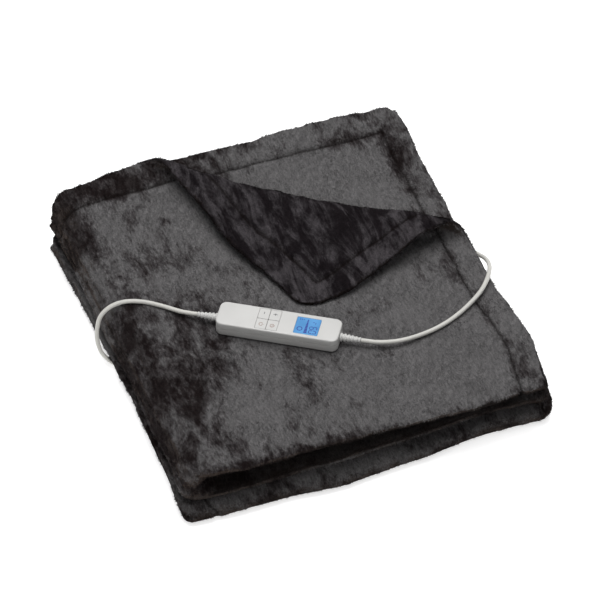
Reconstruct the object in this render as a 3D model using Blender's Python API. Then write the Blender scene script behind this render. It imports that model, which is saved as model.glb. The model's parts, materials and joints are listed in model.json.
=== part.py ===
"""A folded electric heated blanket with its hand control, lead, mains cord and plug.

Metres, +Z up. The origin is under the middle of the folded stack, on the surface it rests on.
The blanket is one cloth. It is halved twice along its length and then folded in thirds across
its width, so it lies in twelve layers, and one corner of the top layer is turned back.
"""

import math
from collections import namedtuple

import bmesh
import bpy
import numpy as np
from mathutils import Vector

# ---- Driving sizes of the folded stack -------------------------------------------------------
STACK_WIDE = 0.400  # a third of the cloth's width
STACK_DEEP = 0.455  # a quarter of the cloth's length
PITCH = 0.0055  # from one layer to the next
CLOTH = 0.0048  # thickness of the cloth
BUNDLE_GAP = 0.0006  # between one third and the next
BUNDLE = 4 * PITCH
UPPER_SEAM = 2 * BUNDLE + 1.5 * BUNDLE_GAP  # height between the top and the middle third
LOWER_SEAM = BUNDLE + 0.5 * BUNDLE_GAP
TOP = 3 * BUNDLE + 2 * BUNDLE_GAP
ORIGIN = (0.19995, 0.2231)  # the origin, from the stack's front left corner

# ---- Hem -------------------------------------------------------------------------------------
HEM = 0.027  # from the edge to the line of stitches
HEM_DIP = 0.0016
HEM_DIP_HALF = 0.0030
HEM_PUFF = 0.0003
CORNER = 0.020  # radius of the cloth's own corners
RIM_OUT = 0.0016

# ---- Folds -----------------------------------------------------------------------------------
FRONT_ROUND = 1.15  # how far the front rolls stand out, as a share of their radius
SIDE_ROUND = 0.80
FRONT_AT = 0.0115  # where the flat layers end and the front rolls begin
LEFT_AT = 0.0185
RIGHT_AT = 0.3895
BACK_INSET = 0.0045

# ---- Corner turned back ----------------------------------------------------------------------
CREASE_ANGLE = math.radians(53.5)  # direction from the crease to the corner, from +X
CREASE_REACH = 0.186  # from the crease to the corner
ROLL_FROM = -0.228  # where the crease's roll starts to widen, along the crease
ROLL_OVER = 0.38
ROLL_LEFT = 0.0105
ROLL_RIGHT = 0.0175
FLAP_BOW = 0.009  # how far the turned-back corner's left edge curves out
FLAP_BOW_FADE = 0.070
FLAP_BOW_REACH = 0.75  # where the bow is full, as a share of the way to the tip
FLAP_FLAT = 0.010  # from the corner's tip to where it lies flat
FLAP_LIFT = 0.0010  # between the turned-back corner and the layer that it lies on

# ---- How the stack stands out at its sides, in metres ----------------------------------------
Front = namedtuple("Front", "x, top, middle, lower")
FRONTS = (
    Front(0.00, 0.000, -0.005, 0.004),
    Front(0.08, 0.001, -0.006, 0.006),
    Front(0.16, 0.000, -0.008, 0.010),
    Front(0.25, 0.001, -0.012, 0.003),
    Front(0.33, 0.004, -0.018, -0.006),
    Front(0.40, 0.001, -0.016, -0.006),
)
Side = namedtuple("Side", "y, top, belly, sag, lower")
LEFTS = (
    Side(-0.012, 0.000, 0.004, 0.010, 0.006),
    Side(0.012, 0.003, 0.010, 0.021, 0.016),
    Side(0.07, 0.001, 0.008, 0.018, 0.011),
    Side(0.18, 0.000, 0.006, 0.015, 0.008),
    Side(0.30, 0.001, 0.005, 0.015, 0.008),
    Side(0.46, 0.009, 0.010, 0.018, 0.011),
)
RIGHTS = (
    Side(-0.012, 0.000, 0.004, 0.006, 0.006),
    Side(0.015, 0.005, 0.014, 0.013, 0.013),
    Side(0.08, 0.013, 0.018, 0.014, 0.012),
    Side(0.20, 0.007, 0.006, 0.006, 0.006),
    Side(0.32, 0.007, 0.007, 0.005, 0.004),
    Side(0.46, 0.001, 0.002, 0.003, 0.003),
)
SIDE_HEIGHTS = (0.016, 0.025, 0.046, 0.064)  # of the lower, sag, belly and top values
Lip = namedtuple("Lip", "height, out")
LIPS = (  # how the top third's front hangs over the middle one
    Lip(0.030, 0.000),
    Lip(0.046, -0.008),
    Lip(0.056, -0.010),
    Lip(0.0615, -0.001),
    Lip(0.066, 0.003),
)
Rise = namedtuple("Rise", "x, height")
BACK_RISES = (  # how much higher the stack is along its back, where the folds and hems meet
    Rise(-0.030, 0.006),
    Rise(0.015, 0.026),
    Rise(0.100, 0.036),
    Rise(0.250, 0.035),
    Rise(0.400, 0.030),
)
BACK_RISE_FROM = 0.330
BACK_RISE_PAST = 1.05  # the rise goes on a little past the stack's back edge
STAND_FADE = 0.16  # how far into the stack a side's shift reaches
FLOOR_DROP = (PITCH - CLOTH) / 2  # so that the lowest layer lies flat on the surface
SLUMP = 0.0035  # how much lower the stack is at its sides
SLUMP_REACH = 0.035
Wave = namedtuple("Wave", "rise, along_x, along_y, start")
WAVES = (
    Wave(0.0011, 14.0, 5.0, 0.4),
    Wave(0.0009, -6.0, 17.0, 1.9),
    Wave(0.0006, 27.0, 21.0, 0.7),
)

# ---- Pocket at the left hem, where the lead goes in ------------------------------------------
POCKET_AT = 0.232
POCKET_HALF = 0.034
POCKET_DEEP = 0.0165
POCKET_TALL = 0.0110
POCKET_FADE = 0.090
SOCKET_SIZE = (0.0110, 0.0220, 0.0080)
SOCKET_ROUND = 0.0009
SOCKET_CORNER = 0.0025
SOCKET_MOUTH = (-0.0020, 0.2430, 0.0056)

# ---- Hand control ----------------------------------------------------------------------------
PART_GAP = 0.0003
LEAST_CORNER = 0.0004
HANDSET_AT = (0.1585, 0.1790)
HANDSET_TURN = math.radians(-33.4)
HANDSET_LONG = 0.138
HANDSET_WIDE = 0.036
HANDSET_BED = 0.0648  # height of the cloth's shallow dent that the hand control lies in
HANDSET_LIFT = 0.0008  # of the hand control above that dent, on the tips of the pile
HANDSET_MARGIN = 0.010  # how far around it the dent stays level
HANDSET_ROOM = 0.030  # and then how far until the cloth has risen again
BASE_TALL = 0.0095
COVER_TALL = 0.0080
PLAN_CORNER = 0.0080
TOP_ROUND = 0.0016
BASE_ROUND = 0.0025
KEY_SIZE = (0.0121, 0.0153, 0.0022)
KEY_GAP = 0.0005
KEY_CORNER = 0.0005
KEY_EDGE = 0.0002
KEY_PROUD = 0.0001
KEY_WELL = 0.0031
KEYS_AT = -0.0122  # middle of the four keys, along the hand control
KEY_ALONG = (KEY_SIZE[0] + KEY_GAP) / 2
KEY_ACROSS = (KEY_SIZE[1] + KEY_GAP) / 2
Key = namedtuple("Key", "name, along, across")
KEYS = (
    Key("key_minus", KEYS_AT - KEY_ALONG, KEY_ACROSS),
    Key("key_plus", KEYS_AT + KEY_ALONG, KEY_ACROSS),
    Key("key_power", KEYS_AT - KEY_ALONG, -KEY_ACROSS),
    Key("key_timer", KEYS_AT + KEY_ALONG, -KEY_ACROSS),
)
DISPLAY_AT = (0.0322, -0.0008)
DISPLAY_SIZE = (0.0270, 0.0255, 0.0012)
DISPLAY_CORNER = 0.0010
DISPLAY_SUNK = 0.0001
ABOVE = 0.001  # how far a cutter reaches above the surface that it cuts
RELIEF_LONG = 0.023
RELIEF_FAT = 0.0049
RELIEF_THIN = 0.0031
RELIEF_RIBS = 5
RIB_SHAPE = ((0.15, 0.0), (0.30, 0.0007), (0.60, 0.0007), (0.75, 0.0))  # share of a rib, depth
RIBS_FROM = 0.0015
RIBS_END = 0.0005
RELIEF_HEIGHT = 0.0085

# ---- Cords -----------------------------------------------------------------------------------
CORD = 0.0050  # diameter
CORD_STEP = 0.0115
CURVE_STEPS = 12  # between two points of a route
SOCKET_STRAIGHT = 0.005
SOCKET_GAP = 0.0013
SOCKET_DROP = 0.0002
At = namedtuple("At", "x, y, z")
LEAD_ROUTE = (
    At(0.0660, 0.2415, 0.0730),
    At(0.0500, 0.2580, 0.0718),
    At(0.0330, 0.2725, 0.0708),
    At(0.0150, 0.2815, 0.0690),
    At(-0.0015, 0.2840, 0.0645),
    At(-0.0135, 0.2825, 0.0555),
    At(-0.0190, 0.2785, 0.0440),
    At(-0.0215, 0.2735, 0.0325),
    At(-0.0210, 0.2690, 0.0225),
    At(-0.0180, 0.2635, 0.0140),
    At(-0.0110, 0.2560, 0.0078),
)
MAINS_ROUTE = (
    At(0.2530, 0.1190, 0.0735),
    At(0.2740, 0.1145, 0.0722),
    At(0.2960, 0.1150, 0.0712),
    At(0.3200, 0.1190, 0.0708),
    At(0.3440, 0.1275, 0.0706),
    At(0.3680, 0.1410, 0.0704),
    At(0.3890, 0.1570, 0.0700),
    At(0.4050, 0.1760, 0.0690),
    At(0.4150, 0.1960, 0.0640),
    At(0.4190, 0.2160, 0.0550),
    At(0.4200, 0.2370, 0.0420),
    At(0.4205, 0.2600, 0.0270),
    At(0.4205, 0.2850, 0.0130),
    At(0.4200, 0.3150, 0.0045),
    At(0.4180, 0.3550, 0.0028),
    At(0.4165, 0.4000, 0.0028),
    At(0.4165, 0.4400, 0.0028),
    At(0.4155, 0.4640, 0.0030),
    At(0.4080, 0.4850, 0.0035),
    At(0.3910, 0.4990, 0.0040),
    At(0.3730, 0.5027, 0.0041),
)
TAIL_ROUTE = (
    At(0.2130, 0.5028, 0.0092),
    At(0.2010, 0.4985, 0.0084),
    At(0.1880, 0.4900, 0.0076),
    At(0.1790, 0.4864, 0.0073),
)
HANK_AT = (0.2925, 0.4825)
HANK_RUN = 0.100
HANK_TURNS_WIDE = 2
HANK_TURNS_TALL = 2
HANK_INNER = 0.0152
TURN_PITCH = 0.0052
HANK_LIFT = 0.0014
HANK_STUB = 0.020
TIE_LONG = 0.010
TIE_THICK = 0.0010

# ---- Plug ------------------------------------------------------------------------------------
PLUG_AT = (0.1440, 0.4860, 0.0072)
PLUG_LONG = 0.030
PLUG_WIDE = 0.034
PLUG_TALL = 0.0130
PLUG_NOSE = 0.010
PIN_APART = 0.0190
PIN_THICK = 0.0040
PIN_LONG = 0.0190


# ---- Small helpers ---------------------------------------------------------------------------
def smooth(share):
    share = np.clip(share, 0.0, 1.0)
    return share * share * (3.0 - 2.0 * share)


def eased(at, stations, values):
    """Values between stations, with a level tangent at each."""
    stations = np.asarray(stations)
    values = np.asarray(values)
    index = np.clip(np.searchsorted(stations, at) - 1, 0, len(stations) - 2)
    share = smooth((at - stations[index]) / (stations[index + 1] - stations[index]))
    return values[index] + share * (values[index + 1] - values[index])


# ---- The fold from front to back -------------------------------------------------------------
Flat = namedtuple("Flat", "start, end, height")
Turn = namedtuple("Turn", "at, start, end, side, bulge")
BACK_AT = STACK_DEEP - BACK_INSET
DEEP_PATH = (
    Flat(STACK_DEEP, FRONT_AT, 3.5 * PITCH),
    Turn(FRONT_AT, 3.5 * PITCH, 0.5 * PITCH, -1, FRONT_ROUND),
    Flat(FRONT_AT, BACK_AT, 0.5 * PITCH),
    Turn(BACK_AT, 0.5 * PITCH, 1.5 * PITCH, 1, 1.0),
    Flat(BACK_AT, FRONT_AT, 1.5 * PITCH),
    Turn(FRONT_AT, 1.5 * PITCH, 2.5 * PITCH, -1, 1.0),
    Flat(FRONT_AT, STACK_DEEP, 2.5 * PITCH),
)


def path_length(piece):
    if isinstance(piece, Flat):
        return abs(piece.end - piece.start)
    return math.pi * abs(piece.end - piece.start) / 2


DEEP_KNOTS = np.concatenate([[0.0], np.cumsum([path_length(piece) for piece in DEEP_PATH])])
CLOTH_LONG = float(DEEP_KNOTS[-1])


def deep_fold(along):
    """Where a point this far along the cloth lies: y, height, and its upper side's direction."""
    spot = np.zeros((4, len(along)))
    index = np.clip(np.searchsorted(DEEP_KNOTS, along, side="right") - 1, 0, len(DEEP_PATH) - 1)
    for number, piece in enumerate(DEEP_PATH):
        here = index == number
        past = along[here] - DEEP_KNOTS[number]
        if isinstance(piece, Flat):
            way = math.copysign(1.0, piece.end - piece.start)
            spot[0, here] = piece.start + way * past
            spot[1, here] = piece.height
            spot[3, here] = -way
            continue
        angle = math.pi * past / path_length(piece)
        middle = (piece.start + piece.end) / 2
        radius = (piece.start - piece.end) / 2
        spot[0, here] = piece.at + piece.side * piece.bulge * abs(radius) * np.sin(angle)
        spot[1, here] = middle + radius * np.cos(angle)
        step_y = piece.side * piece.bulge * abs(radius) * np.cos(angle)
        step_h = -radius * np.sin(angle)
        size = np.hypot(step_y, step_h)
        spot[2, here] = step_h / size
        spot[3, here] = -step_y / size
    return spot


# ---- The fold in thirds across the width -----------------------------------------------------
TOP_LONG = STACK_WIDE - LEFT_AT
MIDDLE_LONG = RIGHT_AT - LEFT_AT
LOWER_LONG = RIGHT_AT
SIDE_TURN = math.pi * (BUNDLE + BUNDLE_GAP) / 2
WIDE_KNOTS = np.concatenate(
    [[0.0], np.cumsum([TOP_LONG, SIDE_TURN, MIDDLE_LONG, SIDE_TURN, LOWER_LONG])]
)
CLOTH_WIDE = float(WIDE_KNOTS[-1])


def wide_fold(across, height):
    """x and z of points this far across the cloth, at this height in its bundle of layers."""
    x = np.zeros(len(across))
    z = np.zeros(len(across))
    index = np.clip(np.searchsorted(WIDE_KNOTS, across, side="right") - 1, 0, 4)
    past = across - WIDE_KNOTS[index]
    half_gap = BUNDLE_GAP / 2
    here = index == 0
    x[here] = STACK_WIDE - past[here]
    z[here] = UPPER_SEAM + half_gap + height[here]
    here = index == 1
    angle = math.pi * past[here] / SIDE_TURN
    radius = half_gap + height[here]
    x[here] = LEFT_AT - SIDE_ROUND * radius * np.sin(angle)
    z[here] = UPPER_SEAM + radius * np.cos(angle)
    here = index == 2
    x[here] = LEFT_AT + past[here]
    z[here] = UPPER_SEAM - half_gap - height[here]
    here = index == 3
    angle = math.pi * past[here] / SIDE_TURN
    radius = half_gap + BUNDLE - height[here]
    x[here] = RIGHT_AT + SIDE_ROUND * radius * np.sin(angle)
    z[here] = LOWER_SEAM + radius * np.cos(angle)
    here = index == 4
    x[here] = RIGHT_AT - past[here]
    z[here] = height[here]
    return x, z


# ---- The corner turned back ------------------------------------------------------------------
CREASE_OUT = np.array([math.cos(CREASE_ANGLE), math.sin(CREASE_ANGLE)])
CREASE_WAY = np.array([math.sin(CREASE_ANGLE), -math.cos(CREASE_ANGLE)])
TOP_LAYER = UPPER_SEAM + BUNDLE_GAP / 2 + 3.5 * PITCH


def past_crease(x, y):
    """How far a point of the top layer lies beyond the crease, towards the corner."""
    return (x - STACK_WIDE) * CREASE_OUT[0] + (y - STACK_DEEP) * CREASE_OUT[1] + CREASE_REACH


def turn_back(x, y, z):
    """Roll the top layer's corner over the crease and lay it down on the layer itself."""
    past = past_crease(x, y)
    along = (x - STACK_WIDE) * CREASE_WAY[0] + (y - STACK_DEEP) * CREASE_WAY[1]
    share = smooth((along - ROLL_FROM) / ROLL_OVER)
    roll = ROLL_LEFT + (ROLL_RIGHT - ROLL_LEFT) * share
    above = z - TOP_LAYER
    angle = np.clip(past / roll, 0.0, math.pi)
    beyond = np.maximum(past - math.pi * roll, 0.0)
    out = (roll - above) * np.sin(angle) - beyond
    rise = roll - (roll - above) * np.cos(angle)
    rest = CLOTH + FLAP_LIFT
    settle = smooth(beyond / (CREASE_REACH - math.pi * roll - FLAP_FLAT))
    rise = rise - settle * (2 * roll - rest)
    move = out - past
    from_edge = (STACK_DEEP - y) / CREASE_OUT[1]
    bow = smooth(beyond / (FLAP_BOW_REACH * (CREASE_REACH - math.pi * roll)))
    bow = -FLAP_BOW * bow * (1.0 - smooth(from_edge / FLAP_BOW_FADE))
    return (
        np.where(past > 0, x + move * CREASE_OUT[0] + bow * CREASE_WAY[0], x),
        np.where(past > 0, y + move * CREASE_OUT[1] + bow * CREASE_WAY[1], y),
        np.where(past > 0, TOP_LAYER + rise, z),
    )


# ---- The unevenness of the whole stack -------------------------------------------------------
def level_shares(z):
    """How much a height belongs to the top, the middle and the lower third."""
    top = smooth((z / BUNDLE - 1.85) / 0.5)
    lower = 1.0 - smooth((z / BUNDLE - 0.80) / 0.5)
    return top, 1.0 - top - lower, lower


def beside_handset(x, y):
    """How far a point lies outside the hand control's outline."""
    away_x = x - HANDSET_AT[0]
    away_y = y - HANDSET_AT[1]
    along = away_x * math.cos(HANDSET_TURN) + away_y * math.sin(HANDSET_TURN)
    across = away_y * math.cos(HANDSET_TURN) - away_x * math.sin(HANDSET_TURN)
    outside_long = np.maximum(np.abs(along) - HANDSET_LONG / 2, 0.0)
    outside_wide = np.maximum(np.abs(across) - HANDSET_WIDE / 2, 0.0)
    return np.hypot(outside_long, outside_wide)


def top_change(x, y):
    """How much higher or lower than flat the top of the stack is."""
    change = np.zeros(len(x))
    for wave in WAVES:
        change += wave.rise * np.sin(wave.along_x * x + wave.along_y * y + wave.start)
    to_side = np.minimum(
        np.minimum(x, STACK_WIDE - x), np.minimum(y, STACK_DEEP - y)
    )
    change -= SLUMP * np.exp(-((np.maximum(to_side, 0.0) / SLUMP_REACH) ** 2))
    rise = np.clip((y - BACK_RISE_FROM) / (STACK_DEEP - BACK_RISE_FROM), 0.0, BACK_RISE_PAST) ** 2
    change += rise * eased(x, [row.x for row in BACK_RISES], [row.height for row in BACK_RISES])
    bed = 1.0 - smooth((beside_handset(x, y) - HANDSET_MARGIN) / HANDSET_ROOM)
    surface = TOP - (PITCH - CLOTH) / 2
    return change + bed * (HANDSET_BED - surface - change)


def side_stand(y, z, rows):
    """How far a side of the stack stands out at this depth and height."""
    stations = [row.y for row in rows]
    lower, sag, belly, top = (
        eased(y, stations, [getattr(row, level) for row in rows])
        for level in ("lower", "sag", "belly", "top")
    )
    to_sag, to_belly, to_top = (
        smooth((z - start) / (end - start))
        for start, end in zip(SIDE_HEIGHTS, SIDE_HEIGHTS[1:])
    )
    return lower + (sag - lower) * to_sag + (belly - sag) * to_belly + (top - belly) * to_top


def settle_stack(x, y, z):
    top, middle, lower = level_shares(z)
    stations = [row.x for row in FRONTS]
    front = (
        top * eased(x, stations, [row.top for row in FRONTS])
        + middle * eased(x, stations, [row.middle for row in FRONTS])
        + lower * eased(x, stations, [row.lower for row in FRONTS])
    )
    front += eased(z, [row.height for row in LIPS], [row.out for row in LIPS])
    left = side_stand(y, z, LEFTS)
    right = side_stand(y, z, RIGHTS)
    in_pocket = np.exp(-(((y - POCKET_AT) / POCKET_HALF) ** 4))
    in_pocket *= 1.0 - smooth((z - POCKET_TALL) / (0.5 * PITCH))
    new_x = x - left * (1.0 - smooth(x / STAND_FADE))
    new_x += right * (1.0 - smooth((STACK_WIDE - x) / STAND_FADE))
    new_x += POCKET_DEEP * in_pocket * (1.0 - smooth(x / POCKET_FADE))
    new_y = y - front * (1.0 - smooth(y / STAND_FADE))
    new_z = z + top_change(x, y) * np.minimum(z / TOP, 1.0)
    return new_x, new_y, np.maximum(new_z - FLOOR_DROP, 0.0)


def cloth_half(along, across):
    """Half the cloth's thickness, drawn in along the hem's stitches."""
    from_edge = np.minimum(
        np.minimum(along, CLOTH_LONG - along), np.minimum(across, CLOTH_WIDE - across)
    )
    half = np.full(len(along), CLOTH / 2)
    band = smooth(from_edge / 0.006) * (1.0 - smooth((from_edge - HEM + 0.006) / 0.006))
    half += HEM_PUFF * band
    half -= HEM_DIP * np.exp(-(((from_edge - HEM) / HEM_DIP_HALF) ** 2))
    return half


def round_corners(along, across):
    """Draw the cloth's square corners in to quarter circles."""
    near_along = np.minimum(along, CLOTH_LONG - along)
    near_across = np.minimum(across, CLOTH_WIDE - across)
    part_along = np.maximum(1.0 - near_along / CORNER, 0.0)
    part_across = np.maximum(1.0 - near_across / CORNER, 0.0)
    in_along = CORNER * part_along * (1.0 - np.sqrt(1.0 - part_across**2 / 2))
    in_across = CORNER * part_across * (1.0 - np.sqrt(1.0 - part_along**2 / 2))
    return (
        along + np.where(along < CLOTH_LONG / 2, in_along, -in_along),
        across + np.where(across < CLOTH_WIDE / 2, in_across, -in_across),
    )


def lay_cloth(along, across, side):
    """World places of cloth points. side is 1 on the upper face, -1 on the lower one."""
    half = cloth_half(along, across)
    along, across = round_corners(along, across)
    y, height, out_y, out_height = deep_fold(along)
    offset = side * half
    y = y + offset * out_y
    height = height + offset * out_height
    x, z = wide_fold(across, height)
    in_top_layer = (along < DEEP_KNOTS[1]) & (across < WIDE_KNOTS[1])
    turned = turn_back(x, y, z)
    x = np.where(in_top_layer, turned[0], x)
    y = np.where(in_top_layer, turned[1], y)
    z = np.where(in_top_layer, turned[2], z)
    x, y, z = settle_stack(x, y, z)
    return np.stack([x - ORIGIN[0], y - ORIGIN[1], z], axis=1)


# ---- Blender helpers -------------------------------------------------------------------------
def clear_scene():
    for thing in list(bpy.data.objects):
        bpy.data.objects.remove(thing, do_unlink=True)


def material(name, colour, roughness):
    made = bpy.data.materials.new(name)
    made.use_nodes = True
    shader = made.node_tree.nodes["Principled BSDF"]
    shader.inputs["Base Color"].default_value = (*colour, 1.0)
    shader.inputs["Roughness"].default_value = roughness
    shader.inputs["Metallic"].default_value = 0.0
    return made


def add_object(name, data, finish, parent=None, place=(0, 0, 0)):
    thing = bpy.data.objects.new(name, data)
    bpy.context.scene.collection.objects.link(thing)
    data.materials.append(finish)
    thing.parent = parent
    thing.location = place
    return thing


def add_mesh(name, shape, finish, parent=None, place=(0, 0, 0), sharp=math.radians(40)):
    mesh = bpy.data.meshes.new(name)
    bmesh.ops.recalc_face_normals(shape, faces=shape.faces)
    if shape.calc_volume(signed=True) < 0:
        bmesh.ops.reverse_faces(shape, faces=shape.faces)
    shape.to_mesh(mesh)
    shape.free()
    mesh.shade_smooth()
    mesh.set_sharp_from_angle(angle=sharp)
    return add_object(name, mesh, finish, parent, place)


def in_stack(x, y, z):
    """A point given from the stack's front left corner, in the part's own frame."""
    return Vector((x - ORIGIN[0], y - ORIGIN[1], z))


def rounded_outline(long, wide, corner, steps):
    points = []
    for quarter in range(4):
        middle_x = (long / 2 - corner) * (1 if quarter in (0, 3) else -1)
        middle_y = (wide / 2 - corner) * (1 if quarter in (0, 1) else -1)
        for step in range(steps + 1):
            angle = math.pi / 2 * (quarter + step / steps)
            points.append((middle_x + corner * math.cos(angle), middle_y + corner * math.sin(angle)))
    return points


def rounded_slab(long, wide, corner, levels, steps=4):
    """A slab with a rounded plan. levels holds (height, how far the outline is drawn in)."""
    shape = bmesh.new()
    rings = []
    for height, inset in levels:
        outline = rounded_outline(
            long - 2 * inset, wide - 2 * inset, max(corner - inset, LEAST_CORNER), steps
        )
        rings.append([shape.verts.new((x, y, height)) for x, y in outline])
    for low, high in zip(rings, rings[1:]):
        for index in range(len(low)):
            after = (index + 1) % len(low)
            shape.faces.new((low[index], low[after], high[after], high[index]))
    shape.faces.new(rings[0][::-1])
    shape.faces.new(rings[-1])
    return shape


def cut_with(target, cutter):
    modifier = target.modifiers.new("cut_" + cutter.name, "BOOLEAN")
    modifier.operation = "DIFFERENCE"
    modifier.object = cutter
    cutter.hide_render = True
    cutter.display_type = "WIRE"
    return modifier


def curve_through(points, step):
    """Points a step apart on a smooth curve through the route's own points."""
    points = [Vector(point) for point in points]
    padded = [2 * points[0] - points[1], *points, 2 * points[-1] - points[-2]]
    fine = []
    for before, start, end, after in zip(padded, padded[1:], padded[2:], padded[3:]):
        for index in range(CURVE_STEPS):
            t = index / CURVE_STEPS
            fine.append(
                0.5
                * (
                    2 * start
                    + (end - before) * t
                    + (2 * before - 5 * start + 4 * end - after) * t**2
                    + (3 * start - before - 3 * end + after) * t**3
                )
            )
    fine.append(points[-1])
    lengths = np.array([(end - start).length for start, end in zip(fine, fine[1:])])
    reach = np.concatenate([[0.0], np.cumsum(lengths)])
    count = max(2, round(reach[-1] / step))
    wanted = np.linspace(0.0, reach[-1], count + 1)
    fine = np.array(fine)
    return [tuple(np.interp(at, reach, fine[:, axis]) for axis in range(3)) for at in wanted]


def add_tube(name, points, finish):
    curve = bpy.data.curves.new(name, "CURVE")
    curve.dimensions = "3D"
    curve.bevel_depth = CORD / 2
    curve.bevel_resolution = 2
    curve.use_fill_caps = True
    spline = curve.splines.new("POLY")
    spline.points.add(len(points) - 1)
    for place, point in zip(spline.points, points):
        place.co = (*point, 1.0)
    return add_object(name, curve, finish)


# ---- The blanket -----------------------------------------------------------------------------
def spread(start, end, count):
    return [start + (end - start) * step / count for step in range(count)]


HEM_STATIONS = (0.0, 0.0035, 0.0105, 0.0225, 0.027, 0.0315)
HEM_DONE = 0.045  # from the edge to where the cloth's even spacing begins
DEEP_COUNTS = (12, 8, 4, 3, 4, 3, 4)
WIDE_COUNTS = (9, 8, 3, 7, 3)


def stations(knots, counts):
    """Where the cloth's grid lines lie: close at both hems, and evenly within each fold."""
    whole = float(knots[-1])
    found = list(HEM_STATIONS)
    begin = HEM_DONE
    for number, count in enumerate(counts):
        end = knots[number + 1] - (HEM_DONE if number == len(counts) - 1 else 0.0)
        found += spread(begin, end, count)
        begin = end
    return found + [begin] + [whole - at for at in reversed(HEM_STATIONS)]


CREASE_CUTS = 6


def build_blanket(finish):
    """Lay out the flat cloth as a grid, cut it along the crease, and fold it."""
    shape = bmesh.new()
    alongs = stations(DEEP_KNOTS, DEEP_COUNTS)
    acrosses = stations(WIDE_KNOTS, WIDE_COUNTS)
    grids = {}
    for side in (1.0, -1.0):
        grid = [[shape.verts.new((along, across, side)) for across in acrosses] for along in alongs]
        grids[side] = grid
        for row in range(len(alongs) - 1):
            for column in range(len(acrosses) - 1):
                corners = (
                    grid[row][column],
                    grid[row + 1][column],
                    grid[row + 1][column + 1],
                    grid[row][column + 1],
                )
                shape.faces.new(corners)
    close_rim(shape, grids, alongs, acrosses)
    cut_crease(shape)
    flat = np.array([vert.co[:] for vert in shape.verts])
    placed = lay_cloth(flat[:, 0], flat[:, 1], flat[:, 2])
    for vert, place in zip(shape.verts, placed):
        vert.co = place
    return add_mesh("blanket", shape, finish, sharp=math.radians(75))


def close_rim(shape, grids, alongs, acrosses):
    """Join the two faces round the cloth's edge through a ring that stands out a little."""
    rows = len(alongs) - 1
    columns = len(acrosses) - 1
    ring = [(row, 0) for row in range(rows)]
    ring += [(rows, column) for column in range(columns)]
    ring += [(row, columns) for row in range(rows, 0, -1)]
    ring += [(0, column) for column in range(columns, 0, -1)]
    rim = []
    for row, column in ring:
        along = alongs[row] + RIM_OUT * ((row == rows) - (row == 0))
        across = acrosses[column] + RIM_OUT * ((column == columns) - (column == 0))
        rim.append(shape.verts.new((along, across, 0.0)))
    for index in range(len(ring)):
        after = (index + 1) % len(ring)
        here, there = ring[index], ring[after]
        for side in (1.0, -1.0):
            grid = grids[side]
            shape.faces.new(
                (grid[here[0]][here[1]], grid[there[0]][there[1]], rim[after], rim[index])
            )


def cut_crease(shape):
    """Cut the flat top layer along lines beside the crease, so that its roll can be round."""
    flat_limit = DEEP_KNOTS[1] + 1e-6
    wide_limit = WIDE_KNOTS[1] + 1e-6
    reach = math.pi * ROLL_RIGHT
    for cut in range(CREASE_CUTS + 1):
        past = reach * cut / CREASE_CUTS
        inside = [
            face
            for face in shape.faces
            if all(vert.co.x < flat_limit and vert.co.y < wide_limit for vert in face.verts)
        ]
        parts = set(inside)
        for face in inside:
            parts.update(face.edges)
            parts.update(face.verts)
        # On the flat cloth, x is the stack's depth from the back and y its width from the right.
        reach_in = CREASE_REACH - past
        bmesh.ops.bisect_plane(
            shape,
            geom=list(parts),
            dist=1e-6,
            plane_co=(reach_in / CREASE_OUT[1], 0.0, 0.0),
            plane_no=(CREASE_OUT[1], CREASE_OUT[0], 0.0),
        )


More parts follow.
